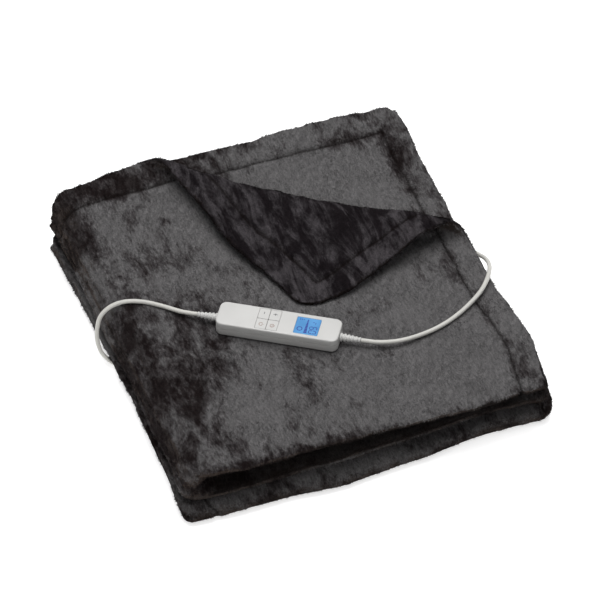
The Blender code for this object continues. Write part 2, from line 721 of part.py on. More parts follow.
# ---- The hand control ------------------------------------------------------------------------
def build_handset(shell, shade, key_finish, glass):
    parent = bpy.data.objects.new("handset", None)
    bpy.context.scene.collection.objects.link(parent)
    parent.location = in_stack(HANDSET_AT[0], HANDSET_AT[1], HANDSET_BED + HANDSET_LIFT)
    parent.rotation_euler = (0.0, 0.0, HANDSET_TURN)
    base_levels = (
        (0.0, BASE_ROUND),
        (0.3 * BASE_ROUND, 0.3 * BASE_ROUND),
        (BASE_ROUND, 0.0),
        (BASE_TALL, 0.0),
    )
    base = rounded_slab(HANDSET_LONG, HANDSET_WIDE, PLAN_CORNER, base_levels)
    add_mesh("handset_base", base, shade, parent)
    bottom = BASE_TALL + PART_GAP
    cover_levels = (
        (0.0, 0.0),
        (COVER_TALL - TOP_ROUND, 0.0),
        (COVER_TALL - 0.3 * TOP_ROUND, 0.3 * TOP_ROUND),
        (COVER_TALL, TOP_ROUND),
    )
    cover_shape = rounded_slab(HANDSET_LONG, HANDSET_WIDE, PLAN_CORNER, cover_levels)
    cover = add_mesh("handset_cover", cover_shape, shell, parent, (0, 0, bottom))
    top = bottom + COVER_TALL
    key_levels = ((-KEY_SIZE[2], 0.0), (-KEY_EDGE, 0.0), (0.0, KEY_EDGE))
    for key in KEYS:
        cap = rounded_slab(KEY_SIZE[0], KEY_SIZE[1], KEY_CORNER, key_levels, steps=2)
        add_mesh(key.name, cap, key_finish, parent, (key.along, key.across, top + KEY_PROUD))
    well_long = 2 * KEY_SIZE[0] + KEY_GAP + 2 * PART_GAP
    well_wide = 2 * KEY_SIZE[1] + KEY_GAP + 2 * PART_GAP
    well = rounded_slab(
        well_long, well_wide, KEY_CORNER + PART_GAP, ((-KEY_WELL, 0.0), (ABOVE, 0.0)), steps=2
    )
    cut_with(cover, add_mesh("well_keys", well, shade, parent, (KEYS_AT, 0.0, top)))
    window_levels = ((-DISPLAY_SIZE[2], 0.0), (0.0, 0.0))
    window = rounded_slab(
        DISPLAY_SIZE[0], DISPLAY_SIZE[1], DISPLAY_CORNER, window_levels, steps=2
    )
    add_mesh("display_window", window, glass, parent, (*DISPLAY_AT, top - DISPLAY_SUNK))
    recess_levels = ((-DISPLAY_SIZE[2] - 2 * PART_GAP, 0.0), (ABOVE, 0.0))
    recess = rounded_slab(
        DISPLAY_SIZE[0] + 2 * PART_GAP,
        DISPLAY_SIZE[1] + 2 * PART_GAP,
        DISPLAY_CORNER + PART_GAP,
        recess_levels,
        steps=2,
    )
    cut_with(cover, add_mesh("recess_display", recess, shade, parent, (*DISPLAY_AT, top)))
    for name, way in (("relief_left", -1), ("relief_right", 1)):
        relief = build_relief(name, shell, parent)
        relief.location = (way * (HANDSET_LONG / 2 + PART_GAP), 0.0, RELIEF_HEIGHT)
        relief.rotation_euler = (0.0, 0.0, 0.0 if way > 0 else math.pi)
    return parent


def turned(profile, sides=14):
    """A solid turned about X from (distance along X, radius) pairs, with flat ends."""
    shape = bmesh.new()
    rings = [
        [
            shape.verts.new(
                (
                    along,
                    radius * math.cos(2 * math.pi * side / sides),
                    radius * math.sin(2 * math.pi * side / sides),
                )
            )
            for side in range(sides)
        ]
        for along, radius in profile
    ]
    for first, second in zip(rings, rings[1:]):
        for side in range(sides):
            after = (side + 1) % sides
            shape.faces.new((first[side], first[after], second[after], second[side]))
    shape.faces.new(rings[0][::-1])
    shape.faces.new(rings[-1])
    return shape


def build_relief(name, finish, parent):
    """A tapered strain relief with a ring of grooves along it."""
    profile = [(0.0, RELIEF_FAT)]
    for rib in range(RELIEF_RIBS):
        for share, sunk in RIB_SHAPE:
            part = (rib + share) / RELIEF_RIBS
            radius = RELIEF_FAT + (RELIEF_THIN - RELIEF_FAT) * part - sunk * (1 - 0.5 * part)
            profile.append((RIBS_FROM + part * (RELIEF_LONG - RIBS_FROM - RIBS_END), radius))
    profile.append((RELIEF_LONG, RELIEF_THIN))
    return add_mesh(name, turned(profile), finish, parent)


# ---- Cords, hank and plug --------------------------------------------------------------------
def relief_end(way):
    reach = HANDSET_LONG / 2 + RELIEF_LONG + 2 * PART_GAP
    return At(
        HANDSET_AT[0] + way * reach * math.cos(HANDSET_TURN),
        HANDSET_AT[1] + way * reach * math.sin(HANDSET_TURN),
        HANDSET_BED + HANDSET_LIFT + RELIEF_HEIGHT,
    )


def build_lead(finish, socket_finish):
    start = relief_end(-1)
    mouth = At(*SOCKET_MOUTH)
    before = At(mouth.x, mouth.y + SOCKET_STRAIGHT, mouth.z)
    route = [in_stack(*at) for at in (start, *LEAD_ROUTE, before, mouth)]
    add_tube("lead_cord", curve_through(route, CORD_STEP), finish)
    long, wide, tall = SOCKET_SIZE[1], SOCKET_SIZE[0], SOCKET_SIZE[2]
    levels = (
        (-tall / 2, SOCKET_ROUND),
        (-tall / 2 + SOCKET_ROUND, 0.0),
        (tall / 2 - SOCKET_ROUND, 0.0),
        (tall / 2, SOCKET_ROUND),
    )
    socket = rounded_slab(wide, long, SOCKET_CORNER, levels, steps=3)
    place = in_stack(mouth.x, mouth.y - long / 2 - SOCKET_GAP, mouth.z - SOCKET_DROP)
    add_mesh("lead_socket", socket, socket_finish, None, place)


def hank_height():
    return HANK_TURNS_TALL * TURN_PITCH + 0.0002


def hank_outer():
    return HANK_INNER + (HANK_TURNS_WIDE - 1) * TURN_PITCH + CORD / 2 + PART_GAP


def racetrack(half_run, radius, steps=14):
    """The outline of a run with round ends, once round from its right end."""
    points = []
    for way in (1, -1):
        for step in range(steps + 1):
            angle = way * math.pi / 2 - math.pi * step / steps
            points.append(
                (way * half_run + radius * math.cos(angle), radius * math.sin(angle))
            )
    return points


def build_hank(cord_finish, tie_finish):
    outline = racetrack(HANK_RUN / 2, hank_outer())
    shape = bmesh.new()
    low = [shape.verts.new((x, y, HANK_LIFT)) for x, y in outline]
    high = [shape.verts.new((x, y, HANK_LIFT + hank_height())) for x, y in outline]
    for index in range(len(low)):
        after = (index + 1) % len(low)
        shape.faces.new((low[index], low[after], high[after], high[index]))
    shape.faces.new(low[::-1])
    shape.faces.new(high)
    middle = in_stack(HANK_AT[0], HANK_AT[1], 0.0)
    hank = add_mesh("cord_hank", shape, cord_finish, None, middle)
    outer_run = HANK_INNER + (HANK_TURNS_WIDE - 1) * TURN_PITCH
    for name, way, level in (("stub_in", 1, 0), ("stub_out", -1, HANK_TURNS_TALL - 1)):
        stub = turned(((0.0, CORD / 2), (way * HANK_STUB, CORD / 2)), sides=12)
        height = HANK_LIFT + (level + 0.5) * TURN_PITCH + 0.0001
        place = middle + Vector((way * HANK_RUN / 2, outer_run, height))
        cutter = add_mesh(name, stub, cord_finish, None, place)
        joined = cut_with(hank, cutter)
        joined.operation = "UNION"
    build_tie(tie_finish, middle)


def build_tie(finish, middle):
    """A flat strap round the middle of the hank."""
    half = hank_outer() + PART_GAP
    low = HANK_LIFT - PART_GAP
    high = HANK_LIFT + hank_height() + PART_GAP
    shape = bmesh.new()
    inner = ((-half, low), (half, low), (half, high), (-half, high))
    grown = half + TIE_THICK
    outer = (
        (-grown, low - TIE_THICK),
        (grown, low - TIE_THICK),
        (grown, high + TIE_THICK),
        (-grown, high + TIE_THICK),
    )
    rings = [
        [shape.verts.new((x, y, z)) for y, z in outline]
        for x, outline in (
            (-TIE_LONG / 2, inner),
            (-TIE_LONG / 2, outer),
            (TIE_LONG / 2, outer),
            (TIE_LONG / 2, inner),
        )
    ]
    for ring, after in zip(rings, rings[1:] + rings[:1]):
        for index in range(4):
            beside = (index + 1) % 4
            shape.faces.new((ring[index], ring[beside], after[beside], after[index]))
    add_mesh("hank_tie", shape, finish, None, middle)


def build_mains(finish):
    start = relief_end(1)
    outer_run = HANK_INNER + (HANK_TURNS_WIDE - 1) * TURN_PITCH
    in_height = HANK_LIFT + 0.5 * TURN_PITCH + 0.0001
    out_height = HANK_LIFT + (HANK_TURNS_TALL - 0.5) * TURN_PITCH + 0.0001
    reach = HANK_RUN / 2 + HANK_STUB + PART_GAP
    hank_in = At(HANK_AT[0] + reach, HANK_AT[1] + outer_run, in_height)
    hank_out = At(HANK_AT[0] - reach, HANK_AT[1] + outer_run, out_height)
    route = [in_stack(*at) for at in (start, *MAINS_ROUTE, hank_in)]
    add_tube("mains_cord", curve_through(route, CORD_STEP), finish)
    plug_end = At(PLUG_AT[0] + PLUG_LONG / 2 + PLUG_NOSE + PART_GAP, PLUG_AT[1], PLUG_AT[2])
    tail = [in_stack(*at) for at in (hank_out, *TAIL_ROUTE, plug_end)]
    add_tube("mains_tail", curve_through(tail, CORD_STEP), finish)


def build_plug(finish, metal):
    """A flat two-pin plug that lies on its side face, its nose towards the cord."""
    parent = bpy.data.objects.new("plug", None)
    bpy.context.scene.collection.objects.link(parent)
    parent.location = in_stack(*PLUG_AT)
    half = PLUG_TALL / 2
    levels = ((-half, 0.0015), (-half + 0.0015, 0.0), (half - 0.0015, 0.0), (half, 0.0015))
    body_shape = rounded_slab(PLUG_LONG, PLUG_WIDE, 0.006, levels)
    body = add_mesh("plug_body", body_shape, finish, parent)
    nose = turned(((PLUG_LONG / 2 - 0.004, 0.0048), (PLUG_LONG / 2 + PLUG_NOSE, RELIEF_THIN)))
    cutter = add_mesh("plug_nose", nose, finish, parent)
    joined = cut_with(body, cutter)
    joined.operation = "UNION"
    for name, way in (("plug_pin_left", -1), ("plug_pin_right", 1)):
        profile = (
            (-PLUG_LONG / 2 - PART_GAP, PIN_THICK / 2),
            (-PLUG_LONG / 2 - PIN_LONG + 0.001, PIN_THICK / 2),
            (-PLUG_LONG / 2 - PIN_LONG, PIN_THICK / 2 - 0.0008),
        )
        add_mesh(name, turned(profile), metal, parent, (0.0, way * PIN_APART / 2, 0.0))


def main():
    clear_scene()
    plush = material("plush", (0.030, 0.028, 0.031), 0.9)
    white = material("white_plastic", (0.80, 0.80, 0.80), 0.4)
    pale = material("pale_plastic", (0.62, 0.63, 0.65), 0.45)
    keys = material("key_plastic", (0.76, 0.76, 0.77), 0.5)
    glass = material("display_glass", (0.12, 0.35, 0.75), 0.1)
    cord = material("white_cord", (0.78, 0.77, 0.74), 0.45)
    dark = material("dark_plastic", (0.03, 0.03, 0.03), 0.5)
    metal = material("pin_metal", (0.75, 0.72, 0.66), 0.25)
    build_blanket(plush)
    build_handset(white, pale, keys, glass)
    build_lead(cord, dark)
    build_hank(cord, dark)
    build_mains(cord)
    build_plug(white, metal)
    bpy.context.view_layer.update()


main()
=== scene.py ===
"""The looks of a folded electric heated blanket with its wired hand control.

Metres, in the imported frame: +Z up, the origin under the middle of the stack, on the floor.
The cloth is folded here by the same rules as its solid, on a much finer grid, and the cords
follow the same routes as their solids.
"""

import json
import math
from collections import namedtuple

import bmesh
import bpy
import numpy as np
from mathutils import Matrix, Vector
from mathutils.bvhtree import BVHTree


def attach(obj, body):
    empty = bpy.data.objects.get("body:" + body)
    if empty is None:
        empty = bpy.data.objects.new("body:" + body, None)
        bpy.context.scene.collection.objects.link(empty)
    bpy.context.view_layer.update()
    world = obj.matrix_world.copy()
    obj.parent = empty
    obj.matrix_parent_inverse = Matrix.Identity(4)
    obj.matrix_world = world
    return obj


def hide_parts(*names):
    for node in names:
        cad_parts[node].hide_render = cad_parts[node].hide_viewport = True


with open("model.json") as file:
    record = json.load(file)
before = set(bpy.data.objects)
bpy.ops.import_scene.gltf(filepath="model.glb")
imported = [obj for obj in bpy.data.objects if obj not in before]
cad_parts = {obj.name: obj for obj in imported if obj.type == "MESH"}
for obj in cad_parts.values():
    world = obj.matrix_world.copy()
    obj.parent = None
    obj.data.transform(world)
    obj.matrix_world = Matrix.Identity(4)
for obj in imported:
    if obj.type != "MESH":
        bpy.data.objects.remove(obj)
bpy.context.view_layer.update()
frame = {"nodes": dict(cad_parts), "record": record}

# ---- Driving sizes of the folded stack -------------------------------------------------------
STACK_WIDE = 0.400  # a third of the cloth's width
STACK_DEEP = 0.455  # a quarter of the cloth's length
PITCH = 0.0055  # from one layer to the next
CLOTH = 0.0048  # thickness of the cloth
BUNDLE_GAP = 0.0006  # between one third and the next
BUNDLE = 4 * PITCH
UPPER_SEAM = 2 * BUNDLE + 1.5 * BUNDLE_GAP  # height between the top and the middle third
LOWER_SEAM = BUNDLE + 0.5 * BUNDLE_GAP
TOP = 3 * BUNDLE + 2 * BUNDLE_GAP
ORIGIN = (0.19995, 0.2231)  # the origin, from the stack's front left corner

# ---- Hem -------------------------------------------------------------------------------------
HEM = 0.027  # from the edge to the line of stitches
HEM_DIP = 0.0016
HEM_DIP_HALF = 0.0030
HEM_PUFF = 0.0003
CORNER = 0.020  # radius of the cloth's own corners
RIM_OUT = 0.0016

# ---- Folds -----------------------------------------------------------------------------------
FRONT_ROUND = 1.15  # how far the front rolls stand out, as a share of their radius
SIDE_ROUND = 0.80
FRONT_AT = 0.0115  # where the flat layers end and the front rolls begin
LEFT_AT = 0.0185
RIGHT_AT = 0.3895
BACK_INSET = 0.0045

# ---- Corner turned back ----------------------------------------------------------------------
CREASE_ANGLE = math.radians(53.5)  # direction from the crease to the corner, from +X
CREASE_REACH = 0.186  # from the crease to the corner
ROLL_FROM = -0.228  # where the crease's roll starts to widen, along the crease
ROLL_OVER = 0.38
ROLL_LEFT = 0.0105
ROLL_RIGHT = 0.0175
FLAP_BOW = 0.009  # how far the turned-back corner's left edge curves out
FLAP_BOW_FADE = 0.070
FLAP_BOW_REACH = 0.75  # where the bow is full, as a share of the way to the tip
FLAP_FLAT = 0.010  # from the corner's tip to where it lies flat
FLAP_LIFT = 0.0010  # between the turned-back corner and the layer that it lies on

# ---- How the stack stands out at its sides, in metres ----------------------------------------
Front = namedtuple("Front", "x, top, middle, lower")
FRONTS = (
    Front(0.00, 0.000, -0.005, 0.004),
    Front(0.08, 0.001, -0.006, 0.006),
    Front(0.16, 0.000, -0.008, 0.010),
    Front(0.25, 0.001, -0.012, 0.003),
    Front(0.33, 0.004, -0.018, -0.006),
    Front(0.40, 0.001, -0.016, -0.006),
)
Side = namedtuple("Side", "y, top, belly, sag, lower")
LEFTS = (
    Side(-0.012, 0.000, 0.004, 0.010, 0.006),
    Side(0.012, 0.003, 0.010, 0.021, 0.016),
    Side(0.07, 0.001, 0.008, 0.018, 0.011),
    Side(0.18, 0.000, 0.006, 0.015, 0.008),
    Side(0.30, 0.001, 0.005, 0.015, 0.008),
    Side(0.46, 0.009, 0.010, 0.018, 0.011),
)
RIGHTS = (
    Side(-0.012, 0.000, 0.004, 0.006, 0.006),
    Side(0.015, 0.005, 0.014, 0.013, 0.013),
    Side(0.08, 0.013, 0.018, 0.014, 0.012),
    Side(0.20, 0.007, 0.006, 0.006, 0.006),
    Side(0.32, 0.007, 0.007, 0.005, 0.004),
    Side(0.46, 0.001, 0.002, 0.003, 0.003),
)
SIDE_HEIGHTS = (0.016, 0.025, 0.046, 0.064)  # of the lower, sag, belly and top values
Lip = namedtuple("Lip", "height, out")
LIPS = (  # how the top third's front hangs over the middle one
    Lip(0.030, 0.000),
    Lip(0.046, -0.008),
    Lip(0.056, -0.010),
    Lip(0.0615, -0.001),
    Lip(0.066, 0.003),
)
Rise = namedtuple("Rise", "x, height")
BACK_RISES = (  # how much higher the stack is along its back, where the folds and hems meet
    Rise(-0.030, 0.006),
    Rise(0.015, 0.026),
    Rise(0.100, 0.036),
    Rise(0.250, 0.035),
    Rise(0.400, 0.030),
)
BACK_RISE_FROM = 0.330
BACK_RISE_PAST = 1.05  # the rise goes on a little past the stack's back edge
STAND_FADE = 0.16  # how far into the stack a side's shift reaches
FLOOR_DROP = (PITCH - CLOTH) / 2  # so that the lowest layer lies flat on the surface
SLUMP = 0.0035  # how much lower the stack is at its sides
SLUMP_REACH = 0.035
Wave = namedtuple("Wave", "rise, along_x, along_y, start")
WAVES = (
    Wave(0.0011, 14.0, 5.0, 0.4),
    Wave(0.0009, -6.0, 17.0, 1.9),
    Wave(0.0006, 27.0, 21.0, 0.7),
)

# ---- Pocket at the left hem, where the lead goes in ------------------------------------------
POCKET_AT = 0.232
POCKET_HALF = 0.034
POCKET_DEEP = 0.0165
POCKET_TALL = 0.0110
POCKET_FADE = 0.090
SOCKET_SIZE = (0.0110, 0.0220, 0.0080)
SOCKET_ROUND = 0.0009
SOCKET_CORNER = 0.0025
SOCKET_MOUTH = (-0.0020, 0.2430, 0.0056)

# ---- Hand control ----------------------------------------------------------------------------
PART_GAP = 0.0003
LEAST_CORNER = 0.0004
HANDSET_AT = (0.1585, 0.1790)
HANDSET_TURN = math.radians(-33.4)
HANDSET_LONG = 0.138
HANDSET_WIDE = 0.036
HANDSET_BED = 0.0648  # height of the cloth's shallow dent that the hand control lies in
HANDSET_LIFT = 0.0008  # of the hand control above that dent, on the tips of the pile
HANDSET_MARGIN = 0.010  # how far around it the dent stays level
HANDSET_ROOM = 0.030  # and then how far until the cloth has risen again
BASE_TALL = 0.0095
COVER_TALL = 0.0080
PLAN_CORNER = 0.0080
TOP_ROUND = 0.0016
BASE_ROUND = 0.0025
KEY_SIZE = (0.0121, 0.0153, 0.0022)
KEY_GAP = 0.0005
KEY_CORNER = 0.0005
KEY_EDGE = 0.0002
KEY_PROUD = 0.0001
KEY_WELL = 0.0031
KEYS_AT = -0.0122  # middle of the four keys, along the hand control
KEY_ALONG = (KEY_SIZE[0] + KEY_GAP) / 2
KEY_ACROSS = (KEY_SIZE[1] + KEY_GAP) / 2
Key = namedtuple("Key", "name, along, across")
KEYS = (
    Key("key_minus", KEYS_AT - KEY_ALONG, KEY_ACROSS),
    Key("key_plus", KEYS_AT + KEY_ALONG, KEY_ACROSS),
    Key("key_power", KEYS_AT - KEY_ALONG, -KEY_ACROSS),
    Key("key_timer", KEYS_AT + KEY_ALONG, -KEY_ACROSS),
)
DISPLAY_AT = (0.0322, -0.0008)
DISPLAY_SIZE = (0.0270, 0.0255, 0.0012)
DISPLAY_CORNER = 0.0010
DISPLAY_SUNK = 0.0001
ABOVE = 0.001  # how far a cutter reaches above the surface that it cuts
RELIEF_LONG = 0.023
RELIEF_FAT = 0.0049
RELIEF_THIN = 0.0031
RELIEF_RIBS = 5
RIB_SHAPE = ((0.15, 0.0), (0.30, 0.0007), (0.60, 0.0007), (0.75, 0.0))  # share of a rib, depth
RIBS_FROM = 0.0015
RIBS_END = 0.0005
RELIEF_HEIGHT = 0.0085

# ---- Cords -----------------------------------------------------------------------------------
CORD = 0.0050  # diameter
CORD_STEP = 0.0115
CURVE_STEPS = 12  # between two points of a route
SOCKET_STRAIGHT = 0.005
SOCKET_GAP = 0.0013
SOCKET_DROP = 0.0002
At = namedtuple("At", "x, y, z")
LEAD_ROUTE = (
    At(0.0660, 0.2415, 0.0730),
    At(0.0500, 0.2580, 0.0718),
    At(0.0330, 0.2725, 0.0708),
    At(0.0150, 0.2815, 0.0690),
    At(-0.0015, 0.2840, 0.0645),
    At(-0.0135, 0.2825, 0.0555),
    At(-0.0190, 0.2785, 0.0440),
    At(-0.0215, 0.2735, 0.0325),
    At(-0.0210, 0.2690, 0.0225),
    At(-0.0180, 0.2635, 0.0140),
    At(-0.0110, 0.2560, 0.0078),
)
MAINS_ROUTE = (
    At(0.2530, 0.1190, 0.0735),
    At(0.2740, 0.1145, 0.0722),
    At(0.2960, 0.1150, 0.0712),
    At(0.3200, 0.1190, 0.0708),
    At(0.3440, 0.1275, 0.0706),
    At(0.3680, 0.1410, 0.0704),
    At(0.3890, 0.1570, 0.0700),
    At(0.4050, 0.1760, 0.0690),
    At(0.4150, 0.1960, 0.0640),
    At(0.4190, 0.2160, 0.0550),
    At(0.4200, 0.2370, 0.0420),
    At(0.4205, 0.2600, 0.0270),
    At(0.4205, 0.2850, 0.0130),
    At(0.4200, 0.3150, 0.0045),
    At(0.4180, 0.3550, 0.0028),
    At(0.4165, 0.4000, 0.0028),
    At(0.4165, 0.4400, 0.0028),
    At(0.4155, 0.4640, 0.0030),
    At(0.4080, 0.4850, 0.0035),
    At(0.3910, 0.4990, 0.0040),
    At(0.3730, 0.5027, 0.0041),
)
TAIL_ROUTE = (
    At(0.2130, 0.5028, 0.0092),
    At(0.2010, 0.4985, 0.0084),
    At(0.1880, 0.4900, 0.0076),
    At(0.1790, 0.4864, 0.0073),
)
HANK_AT = (0.2925, 0.4825)
HANK_RUN = 0.100
HANK_TURNS_WIDE = 2
HANK_TURNS_TALL = 2
HANK_INNER = 0.0152
TURN_PITCH = 0.0052
HANK_LIFT = 0.0014
HANK_STUB = 0.020
TIE_LONG = 0.010
TIE_THICK = 0.0010

# ---- Plug ------------------------------------------------------------------------------------
PLUG_AT = (0.1440, 0.4860, 0.0072)
PLUG_LONG = 0.030
PLUG_WIDE = 0.034
PLUG_TALL = 0.0130
PLUG_NOSE = 0.010
PIN_APART = 0.0190
PIN_THICK = 0.0040
PIN_LONG = 0.0190


# ---- Small helpers ---------------------------------------------------------------------------
def smooth(share):
    share = np.clip(share, 0.0, 1.0)
    return share * share * (3.0 - 2.0 * share)


def eased(at, stations, values):
    """Values between stations, with a level tangent at each."""
    stations = np.asarray(stations)
    values = np.asarray(values)
    index = np.clip(np.searchsorted(stations, at) - 1, 0, len(stations) - 2)
    share = smooth((at - stations[index]) / (stations[index + 1] - stations[index]))
    return values[index] + share * (values[index + 1] - values[index])


# ---- The fold from front to back -------------------------------------------------------------
Flat = namedtuple("Flat", "start, end, height")
Turn = namedtuple("Turn", "at, start, end, side, bulge")
BACK_AT = STACK_DEEP - BACK_INSET
DEEP_PATH = (
    Flat(STACK_DEEP, FRONT_AT, 3.5 * PITCH),
    Turn(FRONT_AT, 3.5 * PITCH, 0.5 * PITCH, -1, FRONT_ROUND),
    Flat(FRONT_AT, BACK_AT, 0.5 * PITCH),
    Turn(BACK_AT, 0.5 * PITCH, 1.5 * PITCH, 1, 1.0),
    Flat(BACK_AT, FRONT_AT, 1.5 * PITCH),
    Turn(FRONT_AT, 1.5 * PITCH, 2.5 * PITCH, -1, 1.0),
    Flat(FRONT_AT, STACK_DEEP, 2.5 * PITCH),
)


def path_length(piece):
    if isinstance(piece, Flat):
        return abs(piece.end - piece.start)
    return math.pi * abs(piece.end - piece.start) / 2


DEEP_KNOTS = np.concatenate([[0.0], np.cumsum([path_length(piece) for piece in DEEP_PATH])])
CLOTH_LONG = float(DEEP_KNOTS[-1])


def deep_fold(along):
    """Where a point this far along the cloth lies: y, height, and its upper side's direction."""
    spot = np.zeros((4, len(along)))
    index = np.clip(np.searchsorted(DEEP_KNOTS, along, side="right") - 1, 0, len(DEEP_PATH) - 1)
    for number, piece in enumerate(DEEP_PATH):
        here = index == number
        past = along[here] - DEEP_KNOTS[number]
        if isinstance(piece, Flat):
            way = math.copysign(1.0, piece.end - piece.start)
            spot[0, here] = piece.start + way * past
            spot[1, here] = piece.height
            spot[3, here] = -way
            continue
        angle = math.pi * past / path_length(piece)
        middle = (piece.start + piece.end) / 2
        radius = (piece.start - piece.end) / 2
        spot[0, here] = piece.at + piece.side * piece.bulge * abs(radius) * np.sin(angle)
        spot[1, here] = middle + radius * np.cos(angle)
        step_y = piece.side * piece.bulge * abs(radius) * np.cos(angle)
        step_h = -radius * np.sin(angle)
        size = np.hypot(step_y, step_h)
        spot[2, here] = step_h / size
        spot[3, here] = -step_y / size
    return spot


# ---- The fold in thirds across the width -----------------------------------------------------
TOP_LONG = STACK_WIDE - LEFT_AT
MIDDLE_LONG = RIGHT_AT - LEFT_AT
LOWER_LONG = RIGHT_AT
SIDE_TURN = math.pi * (BUNDLE + BUNDLE_GAP) / 2
WIDE_KNOTS = np.concatenate(
    [[0.0], np.cumsum([TOP_LONG, SIDE_TURN, MIDDLE_LONG, SIDE_TURN, LOWER_LONG])]
)
CLOTH_WIDE = float(WIDE_KNOTS[-1])


def wide_fold(across, height):
    """x and z of points this far across the cloth, at this height in its bundle of layers."""
    x = np.zeros(len(across))
    z = np.zeros(len(across))
    index = np.clip(np.searchsorted(WIDE_KNOTS, across, side="right") - 1, 0, 4)
    past = across - WIDE_KNOTS[index]
    half_gap = BUNDLE_GAP / 2
    here = index == 0
    x[here] = STACK_WIDE - past[here]
    z[here] = UPPER_SEAM + half_gap + height[here]
    here = index == 1
    angle = math.pi * past[here] / SIDE_TURN
    radius = half_gap + height[here]
    x[here] = LEFT_AT - SIDE_ROUND * radius * np.sin(angle)
    z[here] = UPPER_SEAM + radius * np.cos(angle)
    here = index == 2
    x[here] = LEFT_AT + past[here]
    z[here] = UPPER_SEAM - half_gap - height[here]
    here = index == 3
    angle = math.pi * past[here] / SIDE_TURN
    radius = half_gap + BUNDLE - height[here]
    x[here] = RIGHT_AT + SIDE_ROUND * radius * np.sin(angle)
    z[here] = LOWER_SEAM + radius * np.cos(angle)
    here = index == 4
    x[here] = RIGHT_AT - past[here]
    z[here] = height[here]
    return x, z


# ---- The corner turned back ------------------------------------------------------------------
CREASE_OUT = np.array([math.cos(CREASE_ANGLE), math.sin(CREASE_ANGLE)])
CREASE_WAY = np.array([math.sin(CREASE_ANGLE), -math.cos(CREASE_ANGLE)])
TOP_LAYER = UPPER_SEAM + BUNDLE_GAP / 2 + 3.5 * PITCH


def past_crease(x, y):
    """How far a point of the top layer lies beyond the crease, towards the corner."""
    return (x - STACK_WIDE) * CREASE_OUT[0] + (y - STACK_DEEP) * CREASE_OUT[1] + CREASE_REACH


def turn_back(x, y, z):
    """Roll the top layer's corner over the crease and lay it down on the layer itself."""
    past = past_crease(x, y)
    along = (x - STACK_WIDE) * CREASE_WAY[0] + (y - STACK_DEEP) * CREASE_WAY[1]
    share = smooth((along - ROLL_FROM) / ROLL_OVER)
    roll = ROLL_LEFT + (ROLL_RIGHT - ROLL_LEFT) * share
    above = z - TOP_LAYER
    angle = np.clip(past / roll, 0.0, math.pi)
    beyond = np.maximum(past - math.pi * roll, 0.0)
    out = (roll - above) * np.sin(angle) - beyond
    rise = roll - (roll - above) * np.cos(angle)
    rest = CLOTH + FLAP_LIFT
    settle = smooth(beyond / (CREASE_REACH - math.pi * roll - FLAP_FLAT))
    rise = rise - settle * (2 * roll - rest)
    move = out - past
    from_edge = (STACK_DEEP - y) / CREASE_OUT[1]
    bow = smooth(beyond / (FLAP_BOW_REACH * (CREASE_REACH - math.pi * roll)))
    bow = -FLAP_BOW * bow * (1.0 - smooth(from_edge / FLAP_BOW_FADE))
    return (
        np.where(past > 0, x + move * CREASE_OUT[0] + bow * CREASE_WAY[0], x),
        np.where(past > 0, y + move * CREASE_OUT[1] + bow * CREASE_WAY[1], y),
        np.where(past > 0, TOP_LAYER + rise, z),
    )


# ---- The unevenness of the whole stack -------------------------------------------------------
def level_shares(z):
    """How much a height belongs to the top, the middle and the lower third."""
    top = smooth((z / BUNDLE - 1.85) / 0.5)
    lower = 1.0 - smooth((z / BUNDLE - 0.80) / 0.5)
    return top, 1.0 - top - lower, lower


def beside_handset(x, y):
    """How far a point lies outside the hand control's outline."""
    away_x = x - HANDSET_AT[0]
    away_y = y - HANDSET_AT[1]
    along = away_x * math.cos(HANDSET_TURN) + away_y * math.sin(HANDSET_TURN)
    across = away_y * math.cos(HANDSET_TURN) - away_x * math.sin(HANDSET_TURN)
    outside_long = np.maximum(np.abs(along) - HANDSET_LONG / 2, 0.0)
    outside_wide = np.maximum(np.abs(across) - HANDSET_WIDE / 2, 0.0)
    return np.hypot(outside_long, outside_wide)


def top_change(x, y):
    """How much higher or lower than flat the top of the stack is."""
    change = np.zeros(len(x))
    for wave in WAVES:
        change += wave.rise * np.sin(wave.along_x * x + wave.along_y * y + wave.start)
    to_side = np.minimum(
        np.minimum(x, STACK_WIDE - x), np.minimum(y, STACK_DEEP - y)
    )
    change -= SLUMP * np.exp(-((np.maximum(to_side, 0.0) / SLUMP_REACH) ** 2))
    rise = np.clip((y - BACK_RISE_FROM) / (STACK_DEEP - BACK_RISE_FROM), 0.0, BACK_RISE_PAST) ** 2
    change += rise * eased(x, [row.x for row in BACK_RISES], [row.height for row in BACK_RISES])
    bed = 1.0 - smooth((beside_handset(x, y) - HANDSET_MARGIN) / HANDSET_ROOM)
    surface = TOP - (PITCH - CLOTH) / 2
    return change + bed * (HANDSET_BED - surface - change)


def side_stand(y, z, rows):
    """How far a side of the stack stands out at this depth and height."""
    stations = [row.y for row in rows]
    lower, sag, belly, top = (
        eased(y, stations, [getattr(row, level) for row in rows])
        for level in ("lower", "sag", "belly", "top")
    )
    to_sag, to_belly, to_top = (
        smooth((z - start) / (end - start))
        for start, end in zip(SIDE_HEIGHTS, SIDE_HEIGHTS[1:])
    )
    return lower + (sag - lower) * to_sag + (belly - sag) * to_belly + (top - belly) * to_top


